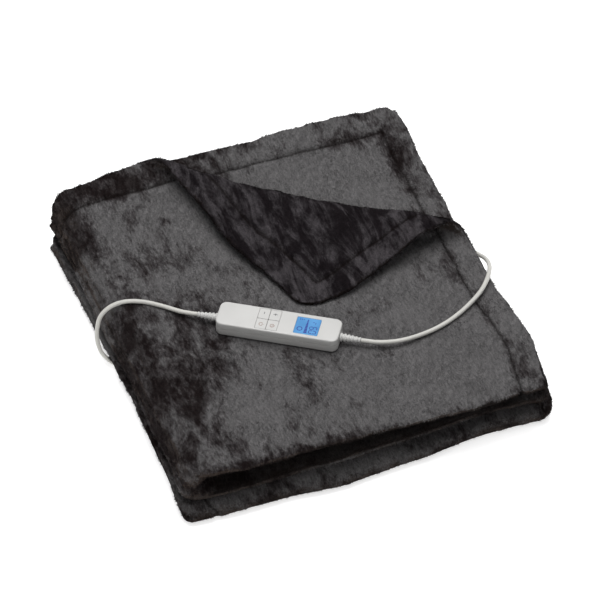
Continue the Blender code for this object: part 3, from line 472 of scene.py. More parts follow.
def settle_stack(x, y, z):
    top, middle, lower = level_shares(z)
    stations = [row.x for row in FRONTS]
    front = (
        top * eased(x, stations, [row.top for row in FRONTS])
        + middle * eased(x, stations, [row.middle for row in FRONTS])
        + lower * eased(x, stations, [row.lower for row in FRONTS])
    )
    front += eased(z, [row.height for row in LIPS], [row.out for row in LIPS])
    left = side_stand(y, z, LEFTS)
    right = side_stand(y, z, RIGHTS)
    in_pocket = np.exp(-(((y - POCKET_AT) / POCKET_HALF) ** 4))
    in_pocket *= 1.0 - smooth((z - POCKET_TALL) / (0.5 * PITCH))
    new_x = x - left * (1.0 - smooth(x / STAND_FADE))
    new_x += right * (1.0 - smooth((STACK_WIDE - x) / STAND_FADE))
    new_x += POCKET_DEEP * in_pocket * (1.0 - smooth(x / POCKET_FADE))
    new_y = y - front * (1.0 - smooth(y / STAND_FADE))
    new_z = z + top_change(x, y) * np.minimum(z / TOP, 1.0)
    return new_x, new_y, np.maximum(new_z - FLOOR_DROP, 0.0)


def cloth_half(along, across):
    """Half the cloth's thickness, drawn in along the hem's stitches."""
    from_edge = np.minimum(
        np.minimum(along, CLOTH_LONG - along), np.minimum(across, CLOTH_WIDE - across)
    )
    half = np.full(len(along), CLOTH / 2)
    band = smooth(from_edge / 0.006) * (1.0 - smooth((from_edge - HEM + 0.006) / 0.006))
    half += HEM_PUFF * band
    half -= HEM_DIP * np.exp(-(((from_edge - HEM) / HEM_DIP_HALF) ** 2))
    return half


def round_corners(along, across):
    """Draw the cloth's square corners in to quarter circles."""
    near_along = np.minimum(along, CLOTH_LONG - along)
    near_across = np.minimum(across, CLOTH_WIDE - across)
    part_along = np.maximum(1.0 - near_along / CORNER, 0.0)
    part_across = np.maximum(1.0 - near_across / CORNER, 0.0)
    in_along = CORNER * part_along * (1.0 - np.sqrt(1.0 - part_across**2 / 2))
    in_across = CORNER * part_across * (1.0 - np.sqrt(1.0 - part_along**2 / 2))
    return (
        along + np.where(along < CLOTH_LONG / 2, in_along, -in_along),
        across + np.where(across < CLOTH_WIDE / 2, in_across, -in_across),
    )


def lay_cloth(along, across, side):
    """World places of cloth points. side is 1 on the upper face, -1 on the lower one."""
    half = cloth_half(along, across)
    along, across = round_corners(along, across)
    y, height, out_y, out_height = deep_fold(along)
    offset = side * half
    y = y + offset * out_y
    height = height + offset * out_height
    x, z = wide_fold(across, height)
    in_top_layer = (along < DEEP_KNOTS[1]) & (across < WIDE_KNOTS[1])
    turned = turn_back(x, y, z)
    x = np.where(in_top_layer, turned[0], x)
    y = np.where(in_top_layer, turned[1], y)
    z = np.where(in_top_layer, turned[2], z)
    x, y, z = settle_stack(x, y, z)
    return np.stack([x - ORIGIN[0], y - ORIGIN[1], z], axis=1)


# ---- Making and naming things ----------------------------------------------------------------
STACK = "stack"


def put(name, data, body, finish=None):
    """A new piece that rides on a CAD body, with the finish that it is given."""
    thing = bpy.data.objects.new(name, data)
    bpy.context.scene.collection.objects.link(thing)
    if finish is not None:
        data.materials.append(finish)
    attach(thing, body)
    return thing


def mesh_of(name, shape, sharp=math.radians(40)):
    mesh = bpy.data.meshes.new(name)
    bmesh.ops.recalc_face_normals(shape, faces=shape.faces)
    if shape.calc_volume(signed=True) < 0:
        bmesh.ops.reverse_faces(shape, faces=shape.faces)
    shape.to_mesh(mesh)
    shape.free()
    mesh.shade_smooth()
    mesh.set_sharp_from_angle(angle=sharp)
    return mesh


def in_stack(x, y, z):
    """A point given from the stack's front left corner, in the shared frame."""
    return Vector((x - ORIGIN[0], y - ORIGIN[1], z))


# ---- Materials -------------------------------------------------------------------------------
class Finish:
    """A material's node tree, with short ways to add its nodes."""

    def __init__(self, name, roughness, **constants):
        self.material = bpy.data.materials.new(name)
        self.material.use_nodes = True
        self.nodes = self.material.node_tree.nodes
        self.links = self.material.node_tree.links
        self.shader = self.nodes["Principled BSDF"]
        self.shader.inputs["Roughness"].default_value = roughness
        for socket, value in constants.items():
            self.shader.inputs[socket.replace("_", " ")].default_value = value

    def node(self, kind, **settings):
        made = self.nodes.new(kind)
        for key, value in settings.items():
            setattr(made, key, value)
        return made

    def join(self, source, target):
        self.links.new(source, target)

    def place(self, scale=(1, 1, 1), turn=(0, 0, 0)):
        where = self.node("ShaderNodeTexCoord")
        mapping = self.node("ShaderNodeMapping")
        mapping.inputs["Scale"].default_value = scale
        mapping.inputs["Rotation"].default_value = turn
        self.join(where.outputs["Object"], mapping.inputs["Vector"])
        return mapping.outputs["Vector"]

    def noise(self, vector, scale, detail=2.0, rough=0.5, distortion=0.0):
        made = self.node("ShaderNodeTexNoise")
        made.inputs["Scale"].default_value = scale
        made.inputs["Detail"].default_value = detail
        made.inputs["Roughness"].default_value = rough
        made.inputs["Distortion"].default_value = distortion
        self.join(vector, made.inputs["Vector"])
        return made.outputs["Fac"]

    def ramp(self, value, low, high, to_low=0.0, to_high=1.0, smooth_step=True):
        made = self.node("ShaderNodeMapRange")
        made.interpolation_type = "SMOOTHSTEP" if smooth_step else "LINEAR"
        made.inputs["From Min"].default_value = low
        made.inputs["From Max"].default_value = high
        made.inputs["To Min"].default_value = to_low
        made.inputs["To Max"].default_value = to_high
        self.join(value, made.inputs["Value"])
        return made.outputs["Result"]

    def maths(self, operation, first, second):
        made = self.node("ShaderNodeMath", operation=operation)
        for socket, value in zip(made.inputs, (first, second)):
            if isinstance(value, (int, float)):
                socket.default_value = value
            else:
                self.join(value, socket)
        return made.outputs["Value"]

    def blend(self, share, first, second, kind="MIX"):
        made = self.node("ShaderNodeMix", data_type="RGBA", blend_type=kind)
        for socket, value in ((made.inputs[0], share), (made.inputs[6], first), (made.inputs[7], second)):
            if isinstance(value, (int, float)):
                socket.default_value = value
            elif isinstance(value, tuple):
                socket.default_value = (*value, 1.0)
            else:
                self.join(value, socket)
        return made.outputs[2]

    def attribute(self, name):
        made = self.node("ShaderNodeAttribute", attribute_name=name)
        return made.outputs["Fac"]

    def bump(self, height, distance, strength=1.0, onto=None):
        made = self.node("ShaderNodeBump")
        made.inputs["Distance"].default_value = distance
        made.inputs["Strength"].default_value = strength
        self.join(height, made.inputs["Height"])
        if onto is not None:
            self.join(onto, made.inputs["Normal"])
        return made.outputs["Normal"]

    def colour(self, value):
        if isinstance(value, tuple):
            self.shader.inputs["Base Color"].default_value = (*value, 1.0)
        else:
            self.join(value, self.shader.inputs["Base Color"])

    def normal(self, value):
        self.join(value, self.shader.inputs["Normal"])


PLUSH_DEEP = (0.0050, 0.0032, 0.0026)
PLUSH_DARK = (0.0135, 0.0095, 0.0095)
PLUSH_DIM = (0.0300, 0.0250, 0.0250)
PLUSH_MID = (0.0530, 0.0475, 0.0485)
# painted sheen: tone of the lit patches of pile
PLUSH_SHEEN = (0.1420, 0.1375, 0.1390)
PLUSH_UNDER = (0.0115, 0.0090, 0.0105)
PLUSH_UNDER_LIT = (0.0720, 0.0650, 0.0700)
# painted shade: tone of the stack's side faces
PLUSH_SIDE_SHADE = (0.0600, 0.0450, 0.0370)


def plush_finish():
    """Crushed plush: the pile lies this way and that in patches, drawn as light or dark painted sheen."""
    made = Finish("plush", 0.9, Sheen_Weight=0.07, Sheen_Roughness=0.4)
    made.shader.inputs["Sheen Tint"].default_value = (0.42, 0.38, 0.40, 1.0)
    made.shader.inputs["Specular IOR Level"].default_value = 0.04
    plain = made.place()
    streaked = made.place((1.0, 0.55, 1.0), (0.0, 0.0, math.radians(24)))
    patches = made.noise(streaked, 30.0, 6.0, 0.66, 0.5)
    small = made.noise(streaked, 110.0, 5.0, 0.68, 0.3)
    broad = made.noise(plain, 7.5, 2.0, 0.5, 0.3)
    brushed = made.noise(made.place((1.0, 0.32, 0.6)), 420.0, 3.0, 0.65)
    pile = made.noise(plain, 900.0, 2.0, 0.7)
    # Painted sheen: the pile's lay from these noises draws the patches light or dark.
    lay = made.maths("MULTIPLY", patches, 0.62)
    lay = made.maths("ADD", lay, made.maths("MULTIPLY", small, 0.26))
    lay = made.maths("ADD", lay, made.maths("MULTIPLY", broad, 0.42))
    lay = made.maths("ADD", lay, made.maths("MULTIPLY", made.maths("SUBTRACT", brushed, 0.5), 0.14))
    open_lay = lay
    # Darker where the pile lies pressed flat, and painted shade at the front, the left side, the back left and the
    # right end.
    lay = made.maths("SUBTRACT", lay, made.maths("MULTIPLY", made.attribute("crushed"), 0.16))
    deep = made.blend(made.ramp(small, 0.40, 0.66), PLUSH_DARK, PLUSH_DIM)
    dark = made.blend(made.ramp(lay, 0.450, 0.550), deep, PLUSH_MID)
    tone = made.blend(made.ramp(lay, 0.515, 0.640), dark, PLUSH_SHEEN)
    streaks = made.noise(made.place((1.0, 0.30, 1.0), (0.0, 0.0, math.radians(-52))), 48.0, 5.0, 0.66, 0.9)
    shine = made.maths("ADD", streaks, made.maths("MULTIPLY", made.maths("SUBTRACT", small, 0.5), 0.35))
    shine = made.maths("ADD", shine, made.maths("MULTIPLY", made.attribute("hem"), 0.015))
    below = made.blend(made.ramp(shine, 0.41, 0.67), PLUSH_UNDER, PLUSH_UNDER_LIT)
    tone = made.blend(made.attribute("under"), tone, below)
    # Painted shade: faces that turn from upright are drawn darker and browner.
    lie = made.node("ShaderNodeNewGeometry")
    upright = made.node("ShaderNodeSeparateXYZ")
    made.join(lie.outputs["Normal"], upright.inputs["Vector"])
    side_shade = made.ramp(upright.outputs["Z"], 0.10, 0.62, 1.0, 0.0)
    side_shade_tone = made.blend(made.ramp(open_lay, 0.50, 0.72), PLUSH_DARK, PLUSH_SIDE_SHADE)
    tone = made.blend(made.maths("MULTIPLY", side_shade, 0.85), tone, side_shade_tone)
    # Painted shade in the stitch groove along the hems.
    seam = made.maths("MULTIPLY", made.attribute("seam"), 0.85)
    tone = made.blend(seam, tone, PLUSH_DEEP)
    tone = made.blend(made.maths("MULTIPLY", made.attribute("hollow"), 0.92), tone, PLUSH_DEEP)
    grain = made.ramp(pile, 0.25, 0.75, 0.62, 1.38, False)
    grain = made.maths("MULTIPLY", grain, made.ramp(brushed, 0.25, 0.75, 0.72, 1.28, False))
    speck = made.node("ShaderNodeCombineColor")
    for socket in speck.inputs:
        made.join(grain, socket)
    tone = made.blend(1.0, tone, speck.outputs["Color"], "MULTIPLY")
    made.colour(tone)
    relief = made.bump(lay, 0.005, 0.7)
    relief = made.bump(brushed, 0.0014, 0.7, relief)
    made.normal(made.bump(pile, 0.0010, 0.8, relief))
    return made.material


def plastic_finish(name, colour, roughness, grain=0.00004):
    """Moulded plastic with a fine satin grain and faint unevenness."""
    made = Finish(name, roughness)
    where = made.place()
    broad = made.noise(where, 30.0, 2.0)
    tone = made.ramp(broad, 0.3, 0.7, 0.97, 1.02)
    speck = made.node("ShaderNodeCombineColor")
    for socket in speck.inputs:
        made.join(tone, socket)
    made.colour(made.blend(1.0, colour, speck.outputs["Color"], "MULTIPLY"))
    made.join(
        made.ramp(made.noise(where, 140.0, 3.0), 0.3, 0.7, roughness - 0.05, roughness + 0.06),
        made.shader.inputs["Roughness"],
    )
    made.normal(made.bump(made.noise(where, 2600.0, 1.0), grain, 0.4))
    return made.material


def display_finish():
    """A lit blue display, a little brighter in soft patches, with a faint fine bump."""
    made = Finish("display_glass", 0.12)
    where = made.place()
    glow = made.noise(where, 55.0, 1.0)
    shade = made.blend(made.ramp(glow, 0.3, 0.7), (0.085, 0.27, 0.56), (0.12, 0.34, 0.66))
    made.colour(shade)
    made.join(shade, made.shader.inputs["Emission Color"])
    made.shader.inputs["Emission Strength"].default_value = 0.12
    made.normal(made.bump(made.noise(where, 900.0, 0.0), 0.00002, 0.2))
    return made.material


def floor_finish():
    """A white table lit from below, which leaves only faint shadows."""
    made = Finish("floor_white", 0.8)
    tone = made.blend(made.noise(made.place(), 9.0, 2.0), (0.88, 0.88, 0.88), (0.92, 0.92, 0.92))
    made.colour(tone)
    made.join(tone, made.shader.inputs["Emission Color"])
    made.shader.inputs["Emission Strength"].default_value = 0.74
    return made.material


def metal_finish():
    made = Finish("pin_metal", 0.25, Metallic=1.0)
    where = made.place((1.0, 1.0, 1.0))
    streaks = made.noise(made.place((12.0, 900.0, 900.0)), 1.0, 2.0)
    made.colour(made.blend(made.ramp(streaks, 0.3, 0.7), (0.62, 0.60, 0.56), (0.80, 0.78, 0.73)))
    made.normal(made.bump(made.noise(where, 800.0), 0.00003, 0.3))
    return made.material


# ---- Camera, floor and light -----------------------------------------------------------------
AZIMUTH = math.radians(-20.7)
ELEVATION = math.radians(44.7)
LENS = 480.0
SENSOR = 36.0
PIXELS_PER_METRE = 903.0
FRAME_PIXELS = 600.0
AIM = (-0.00225, -0.0056, 0.0669)


def make_camera():
    data = bpy.data.cameras.new("camera")
    data.lens = LENS
    data.sensor_width = SENSOR
    data.clip_end = 30.0
    camera = bpy.data.objects.new("camera", data)
    bpy.context.scene.collection.objects.link(camera)
    distance = LENS / SENSOR * FRAME_PIXELS / PIXELS_PER_METRE
    back = Vector(
        (
            math.sin(AZIMUTH) * math.cos(ELEVATION),
            -math.cos(AZIMUTH) * math.cos(ELEVATION),
            math.sin(ELEVATION),
        )
    )
    camera.location = Vector(AIM) + back * distance
    camera.rotation_euler = back.to_track_quat("Z", "Y").to_euler()
    bpy.context.scene.camera = camera


def add_light(name, place, size, power, aim=(0.0, 0.0, 0.0), tint=(1.0, 1.0, 1.0)):
    data = bpy.data.lights.new(name, "AREA")
    data.shape = "DISK"
    data.size = size
    data.energy = power
    data.color = tint
    light = bpy.data.objects.new(name, data)
    bpy.context.scene.collection.objects.link(light)
    light.location = place
    way = Vector(place) - Vector(aim)
    light.rotation_euler = way.to_track_quat("Z", "Y").to_euler()


def make_studio():
    shape = bmesh.new()
    bmesh.ops.create_grid(shape, x_segments=1, y_segments=1, size=6.0)
    floor = bpy.data.objects.new("floor", mesh_of("floor", shape))
    bpy.context.scene.collection.objects.link(floor)
    floor.location = (0.0, 0.0, -0.0004)
    floor.data.materials.append(floor_finish())
    world = bpy.context.scene.world or bpy.data.worlds.new("world")
    bpy.context.scene.world = world
    world.use_nodes = True
    backdrop = world.node_tree.nodes["Background"]
    backdrop.inputs["Color"].default_value = (1.0, 1.0, 1.0, 1.0)
    backdrop.inputs["Strength"].default_value = 0.20
    add_light("top_light", (0.10, 0.35, 2.1), 2.2, 43.0)
    add_light("fill_light", (-0.5, -1.7, 1.6), 1.6, 5.5)
    bpy.context.scene.view_settings.view_transform = "Standard"


# ---- Cords -----------------------------------------------------------------------------------
def curve_through(points, step):
    """Points a step apart on a smooth curve through the route's own points."""
    points = [Vector(point) for point in points]
    padded = [2 * points[0] - points[1], *points, 2 * points[-1] - points[-2]]
    fine = []
    for before, start, end, after in zip(padded, padded[1:], padded[2:], padded[3:]):
        for index in range(CURVE_STEPS):
            t = index / CURVE_STEPS
            fine.append(
                0.5
                * (
                    2 * start
                    + (end - before) * t
                    + (2 * before - 5 * start + 4 * end - after) * t**2
                    + (3 * start - before - 3 * end + after) * t**3
                )
            )
    fine.append(points[-1])
    lengths = np.array([(end - start).length for start, end in zip(fine, fine[1:])])
    reach = np.concatenate([[0.0], np.cumsum(lengths)])
    count = max(2, round(reach[-1] / step))
    wanted = np.linspace(0.0, reach[-1], count + 1)
    fine = np.array(fine)
    return [tuple(np.interp(at, reach, fine[:, axis]) for axis in range(3)) for at in wanted]


def length_of(points):
    points = np.array(points)
    return float(np.linalg.norm(np.diff(points, axis=0), axis=1).sum())


def make_tube(name, points, finish):
    curve = bpy.data.curves.new(name, "CURVE")
    curve.dimensions = "3D"
    curve.bevel_depth = CORD / 2
    curve.bevel_resolution = 4
    curve.use_fill_caps = True
    spline = curve.splines.new("POLY")
    spline.points.add(len(points) - 1)
    for place, point in zip(spline.points, points):
        place.co = (*point, 1.0)
    return put(name, curve, STACK, finish)


def relief_end(way):
    reach = HANDSET_LONG / 2 + RELIEF_LONG + 2 * PART_GAP
    return At(
        HANDSET_AT[0] + way * reach * math.cos(HANDSET_TURN),
        HANDSET_AT[1] + way * reach * math.sin(HANDSET_TURN),
        HANDSET_BED + HANDSET_LIFT + RELIEF_HEIGHT,
    )


def make_lead(finish):
    mouth = At(*SOCKET_MOUTH)
    before = At(mouth.x, mouth.y + SOCKET_STRAIGHT, mouth.z)
    route = [in_stack(*at) for at in (relief_end(-1), *LEAD_ROUTE, before, mouth)]
    points = curve_through(route, 0.0025)
    lead = make_tube("lead", points, finish)
    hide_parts("lead_cord")
    return lead


def shift_share(turn_share, first, last):
    return float(smooth((turn_share - first) / (last - first)))


Winding = namedtuple("Winding", "radius, level, next_radius, next_level, shift_from, shift_to")


def hank_points():
    """The cord's windings: three turns and a last run, from the lower outer place."""
    inner = HANK_INNER
    outer = HANK_INNER + TURN_PITCH
    windings = (
        Winding(outer, 0, inner, 0, 0.62, 1.00),
        Winding(inner, 0, inner, 1, 0.30, 0.72),
        Winding(inner, 1, outer, 1, 0.00, 0.40),
    )
    half = HANK_RUN / 2
    middle = in_stack(HANK_AT[0], HANK_AT[1], HANK_LIFT + 0.5 * TURN_PITCH + 0.0001)
    points = []
    steps = 16
    for winding in windings:
        rise = Vector((0.0, 0.0, winding.level * TURN_PITCH))
        for step in range(6):
            points.append(middle + rise + Vector((half - 2 * half * step / 6, winding.radius, 0)))
        for step in range(steps):
            angle = math.pi / 2 + math.pi * step / steps
            spot = Vector((math.cos(angle), math.sin(angle), 0.0)) * winding.radius
            points.append(middle + rise + Vector((-half, 0.0, 0.0)) + spot)
        for step in range(6):
            points.append(middle + rise + Vector((-half + 2 * half * step / 6, -winding.radius, 0)))
        for step in range(steps):
            share = shift_share(step / steps, winding.shift_from, winding.shift_to)
            radius = winding.radius + share * (winding.next_radius - winding.radius)
            level = winding.level + share * (winding.next_level - winding.level)
            angle = -math.pi / 2 + math.pi * step / steps
            spot = Vector((math.cos(angle), math.sin(angle), 0.0)) * radius
            spot.z = level * TURN_PITCH
            points.append(middle + Vector((half, 0.0, 0.0)) + spot)
    last = Vector((0.0, outer, TURN_PITCH))
    for step in range(7):
        points.append(middle + last + Vector((half - 2 * half * step / 6, 0.0, 0.0)))
    return points


def make_mains(finish):
    plug_end = At(PLUG_AT[0] + PLUG_LONG / 2 + PLUG_NOSE + PART_GAP, PLUG_AT[1], PLUG_AT[2])
    route = [in_stack(*at) for at in (relief_end(1), *MAINS_ROUTE)]
    route += hank_points()
    route += [in_stack(*at) for at in (*TAIL_ROUTE, plug_end)]
    points = curve_through(route, 0.0025)
    mains = make_tube("mains_lead", points, finish)
    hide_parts("mains_cord", "cord_hank", "mains_tail")
    print("mains cord", round(length_of(points), 3))
    return mains


# ---- The blanket -----------------------------------------------------------------------------
Crumple = namedtuple("Crumple", "wavelength, size, count")
CRUMPLES = (
    Crumple(0.110, 0.0016, 7),
    Crumple(0.055, 0.0009, 9),
    Crumple(0.027, 0.00045, 12),
    Crumple(0.014, 0.00020, 14),
)


Ridge = namedtuple("Ridge", "pitch, slope, size, start")
RIDGES = (Ridge(0.0115, 0.030, 0.0013, 0.4), Ridge(0.0072, -0.022, 0.0007, 2.1))


def crumpled(points):
    """Move points by a smooth uneven field, least near the floor and the hand control."""
    random = np.random.default_rng(7)
    move = np.zeros_like(points)
    for crumple in CRUMPLES:
        for _ in range(crumple.count):
            way = random.normal(size=3)
            way *= 2 * math.pi / crumple.wavelength / np.linalg.norm(way)
            push = random.normal(size=3)
            push *= crumple.size / math.sqrt(crumple.count) * 1.6 / np.linalg.norm(push)
            wave = np.sin(points @ way + random.uniform(0, 2 * math.pi))
            move += wave[:, None] * push
    x = points[:, 0] + ORIGIN[0]
    y = points[:, 1] + ORIGIN[1]
    near = smooth((beside_handset(x, y) - 0.004) / 0.035)
    near = np.where(points[:, 2] > 2.2 * BUNDLE, near, 1.0)
    low = smooth(points[:, 2] / 0.010)
    moved = points + move * (near * low)[:, None]
    for ridge in RIDGES:
        phase = 2 * math.pi * (points[:, 2] + ridge.slope * y) / ridge.pitch + ridge.start
        depth = ridge.size * low * (1.0 - smooth((x - 0.004) / 0.036))
        depth *= 1.0 - smooth((points[:, 2] - 0.050) / 0.012)
        moved[:, 0] += depth * np.sin(phase)
    return moved


def spread(start, end, step):
    count = max(2, round((end - start) / step))
    return list(np.linspace(start, end, count + 1)[:-1])


HEM_STATIONS = (
    0.0, 0.0012, 0.0035, 0.008, 0.014, 0.0190, 0.0225, 0.0243, 0.0257, 0.0270, 0.0283, 0.0297, 0.0318
)
HEM_DONE = 0.0355


def stations(knots, whole, steps):
    found = list(HEM_STATIONS)
    begin = HEM_DONE
    for number, step in enumerate(steps):
        end = knots[number + 1] - (HEM_DONE if number == len(steps) - 1 else 0.0)
        found += spread(begin, end, step)
        begin = end
    return found + [begin] + [whole - at for at in reversed(HEM_STATIONS)]


DEEP_STEPS = (0.0046, 0.0016, 0.035, 0.0011, 0.044, 0.0012, 0.0095)
WIDE_STEPS = (0.0048, 0.0018, 0.015, 0.0018, 0.015)
CREASE_CUTS = 16


def mark(mesh, name, values):
    made = mesh.attributes.new(name, "FLOAT", "POINT")
    made.data.foreach_set("value", values.astype(np.float32))


def edge_distance(flat):
    return np.minimum(
        np.minimum(flat[:, 0], CLOTH_LONG - flat[:, 0]),
        np.minimum(flat[:, 1], CLOTH_WIDE - flat[:, 1]),
    )


def turned_under(flat):
    """1 on the cloth's lower face where it shows on the turned-back corner."""
    turned_over = (flat[:, 0] < DEEP_KNOTS[1]) & (flat[:, 1] < WIDE_KNOTS[1])
    turned_over &= flat @ np.array([CREASE_OUT[1], CREASE_OUT[0], 0.0]) < CREASE_REACH
    return turned_over & (flat[:, 2] < 0.5)


def seam_share(flat):
    """1 on the line of stitches, falling to 0 a little way off it: where painted shade darkens the stitch groove."""
    return np.exp(-(((edge_distance(flat) - HEM) / SEAM_HALF) ** 2))


def crushed_share(flat, placed):
    """Where the pile is drawn darker: pressed flat at and just inside the hems, most on the left; painted shade on
    the left side, along the front edge, at the back left and at the front's right end; much less low down.
    """
    x = placed[:, 0] + ORIGIN[0]
    y = placed[:, 1] + ORIGIN[1]
    hem = 1.0 - smooth((edge_distance(flat) - 0.75 * HEM) / (0.6 * HEM))
    hem *= 1.0 - 0.5 * smooth((x - 0.10) / 0.18)
    side = 1.0 - smooth(x / 0.120)
    side *= 1.0 - 0.30 * smooth((y - 0.16) / 0.14)
    front = (1.0 - smooth((y + 0.004) / 0.020)) * (1.0 - 0.6 * smooth((x - 0.1) / 0.25))
    behind = smooth((y - 0.37) / 0.03) * (1.0 - smooth((x - 0.17) / 0.09))
    behind *= (flat[:, 0] > DEEP_KNOTS[1]) | (flat[:, 1] > WIDE_KNOTS[1])
    beside = np.exp(-(((edge_distance(flat) - 1.15 * HEM) / (0.35 * HEM)) ** 2))
    beside *= smooth((x - 0.26) / 0.06)
    end = smooth((x - 0.385) / 0.015) * (1.0 - smooth((y - 0.05) / 0.03))
    end *= 1.0 - smooth((placed[:, 2] - 0.058) / 0.006)
    roll = smooth((0.034 - placed[:, 2]) / 0.006)
    crushed = (0.8 * hem + 0.85 * side + 0.8 * front + 1.1 * behind + 0.6 * beside) * (1.0 - 0.75 * roll)
    return np.clip(crushed + end, 0.0, 1.2)


def hollow_share(flat, placed):
    """Deep shade where the middle third lies back under the top one, and on the corner's edge."""
    x = placed[:, 0] + ORIGIN[0]
    y = placed[:, 1] + ORIGIN[1]
    z = placed[:, 2]
    front = 1.0 - smooth((y - 0.034) / 0.016)
    band = smooth((z - 0.0245) / 0.004) * (1.0 - smooth((z - 0.0575) / 0.004))
    band *= smooth((x + 0.002) / 0.022) * (1.0 - 0.35 * smooth((x - 0.37) / 0.030))
    low = 0.30 * (1.0 - smooth((z - 0.018) / 0.012)) + 0.10
    shade = front * np.maximum(band, low * (1.0 - smooth((z - 0.040) / 0.010)))
    return np.where(turned_under(flat) & (flat[:, 2] > -0.5), 1.0, shade)


def hem_share(flat):
    """1 on the hem outside its stitches."""
    return 1.0 - smooth((edge_distance(flat) - 0.80 * HEM) / (0.20 * HEM))


SEAM_HALF = 0.0018


def make_blanket(finish):
    shape = bmesh.new()
    alongs = stations(DEEP_KNOTS, CLOTH_LONG, DEEP_STEPS)
    acrosses = stations(WIDE_KNOTS, CLOTH_WIDE, WIDE_STEPS)
    grids = {}
    for side in (1.0, -1.0):
        grid = [[shape.verts.new((along, across, side)) for across in acrosses] for along in alongs]
        grids[side] = grid
        for row in range(len(alongs) - 1):
            for column in range(len(acrosses) - 1):
                shape.faces.new(
                    (
                        grid[row][column],
                        grid[row + 1][column],
                        grid[row + 1][column + 1],
                        grid[row][column + 1],
                    )
                )
    close_rim(shape, grids, alongs, acrosses)
    cut_crease(shape)
    flat = np.array([vert.co[:] for vert in shape.verts])
    placed = crumpled(lay_cloth(flat[:, 0], flat[:, 1], flat[:, 2]))
    for vert, place in zip(shape.verts, placed):
        vert.co = place
    mesh = mesh_of("blanket_cloth", shape, math.radians(80))
    mark(mesh, "under", turned_under(flat))
    mark(mesh, "seam", seam_share(flat))
    mark(mesh, "crushed", crushed_share(flat, placed))
    mark(mesh, "hollow", hollow_share(flat, placed))
    mark(mesh, "hem", hem_share(flat))
    blanket = put("blanket_cloth", mesh, STACK, finish)
    pile = make_pile(blanket, finish)
    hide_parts("blanket")
    print("blanket triangles", sum(len(face.vertices) - 2 for face in mesh.polygons))
    return blanket


def close_rim(shape, grids, alongs, acrosses):
    """Join the two faces round the cloth's edge through a ring that stands out a little."""
    rows = len(alongs) - 1
    columns = len(acrosses) - 1
    ring = [(row, 0) for row in range(rows)]
    ring += [(rows, column) for column in range(columns)]
    ring += [(row, columns) for row in range(rows, 0, -1)]
    ring += [(0, column) for column in range(columns, 0, -1)]
    rim = []
    for row, column in ring:
        along = alongs[row] + RIM_OUT * ((row == rows) - (row == 0))
        across = acrosses[column] + RIM_OUT * ((column == columns) - (column == 0))
        rim.append(shape.verts.new((along, across, 0.0)))
    for index in range(len(ring)):
        after = (index + 1) % len(ring)
        here, there = ring[index], ring[after]
        for side in (1.0, -1.0):
            grid = grids[side]
            shape.faces.new(
                (grid[here[0]][here[1]], grid[there[0]][there[1]], rim[after], rim[index])
            )


def cut_crease(shape):
    """Cut the flat top layer along lines beside the crease, so that its roll is round."""
    reach = math.pi * ROLL_RIGHT
    for cut in range(CREASE_CUTS + 1):
        reach_in = CREASE_REACH - reach * cut / CREASE_CUTS
        parts = set()
        for face in shape.faces:
            if all(
                vert.co.x < DEEP_KNOTS[1] + 1e-6 and vert.co.y < WIDE_KNOTS[1] + 1e-6
                for vert in face.verts
            ):
                parts.add(face)
                parts.update(face.edges)
                parts.update(face.verts)
        bmesh.ops.bisect_plane(
            shape,
            geom=list(parts),
            dist=1e-6,
            plane_co=(reach_in / CREASE_OUT[1], 0.0, 0.0),
            plane_no=(CREASE_OUT[1], CREASE_OUT[0], 0.0),
        )


# ---- The pile --------------------------------------------------------------------------------
PILE_PIECES = 2
PILE_EACH = 190000  # blades of one triangle in each piece
PILE_LONG = 0.0030
PILE_WIDE = 0.00055
PILE_SUNK = 0.0004
PILE_CLEAR = 0.010  # how much room a blade's foot needs above it, so that it shows
PILE_CLUMP = 0.011  # size of the clumps in which the blades lie alike


def lie_field(points, random):
    """A smooth direction field: how the pile is brushed at each point."""
    field = np.zeros_like(points)
    for size in (0.060, 0.024, PILE_CLUMP):
        for _ in range(5):
            way = random.normal(size=3)
            way *= 2 * math.pi / size / np.linalg.norm(way)
            push = random.normal(size=3)
            wave = np.sin(points @ way + random.uniform(0, 2 * math.pi))
            field += wave[:, None] * push * (0.7 if size == PILE_CLUMP else 1.0)
    return field


def unit(vectors):
    return vectors / np.maximum(np.linalg.norm(vectors, axis=1), 1e-9)[:, None]


def corners_of(mesh):
    mesh.calc_loop_triangles()
    faces = np.empty(len(mesh.loop_triangles) * 3, np.int32)
    mesh.loop_triangles.foreach_get("vertices", faces)
    points = np.empty(len(mesh.vertices) * 3, np.float32)
    mesh.vertices.foreach_get("co", points)
    return points.reshape(-1, 3).astype(float), faces.reshape(-1, 3)


def values_of(mesh, name):
    values = np.empty(len(mesh.vertices), np.float32)
    mesh.attributes[name].data.foreach_get("value", values)
    return values


def open_faces(mesh, points, faces):
    """Which triangles have room above them, so that their pile shows."""
    tree = BVHTree.FromPolygons([tuple(point) for point in points], faces.tolist())
    corners = points[faces]
    middles = corners.mean(axis=1)
    normals = unit(np.cross(corners[:, 1] - corners[:, 0], corners[:, 2] - corners[:, 0]))
    clear = np.zeros(len(faces), bool)
    for index in range(len(faces)):
        if middles[index, 2] < 0.004 and normals[index, 2] < -0.5:
            continue
        start = Vector(middles[index] + normals[index] * 0.0006)
        hit = tree.ray_cast(start, Vector(normals[index]), PILE_CLEAR)
        clear[index] = hit[0] is None
    return clear


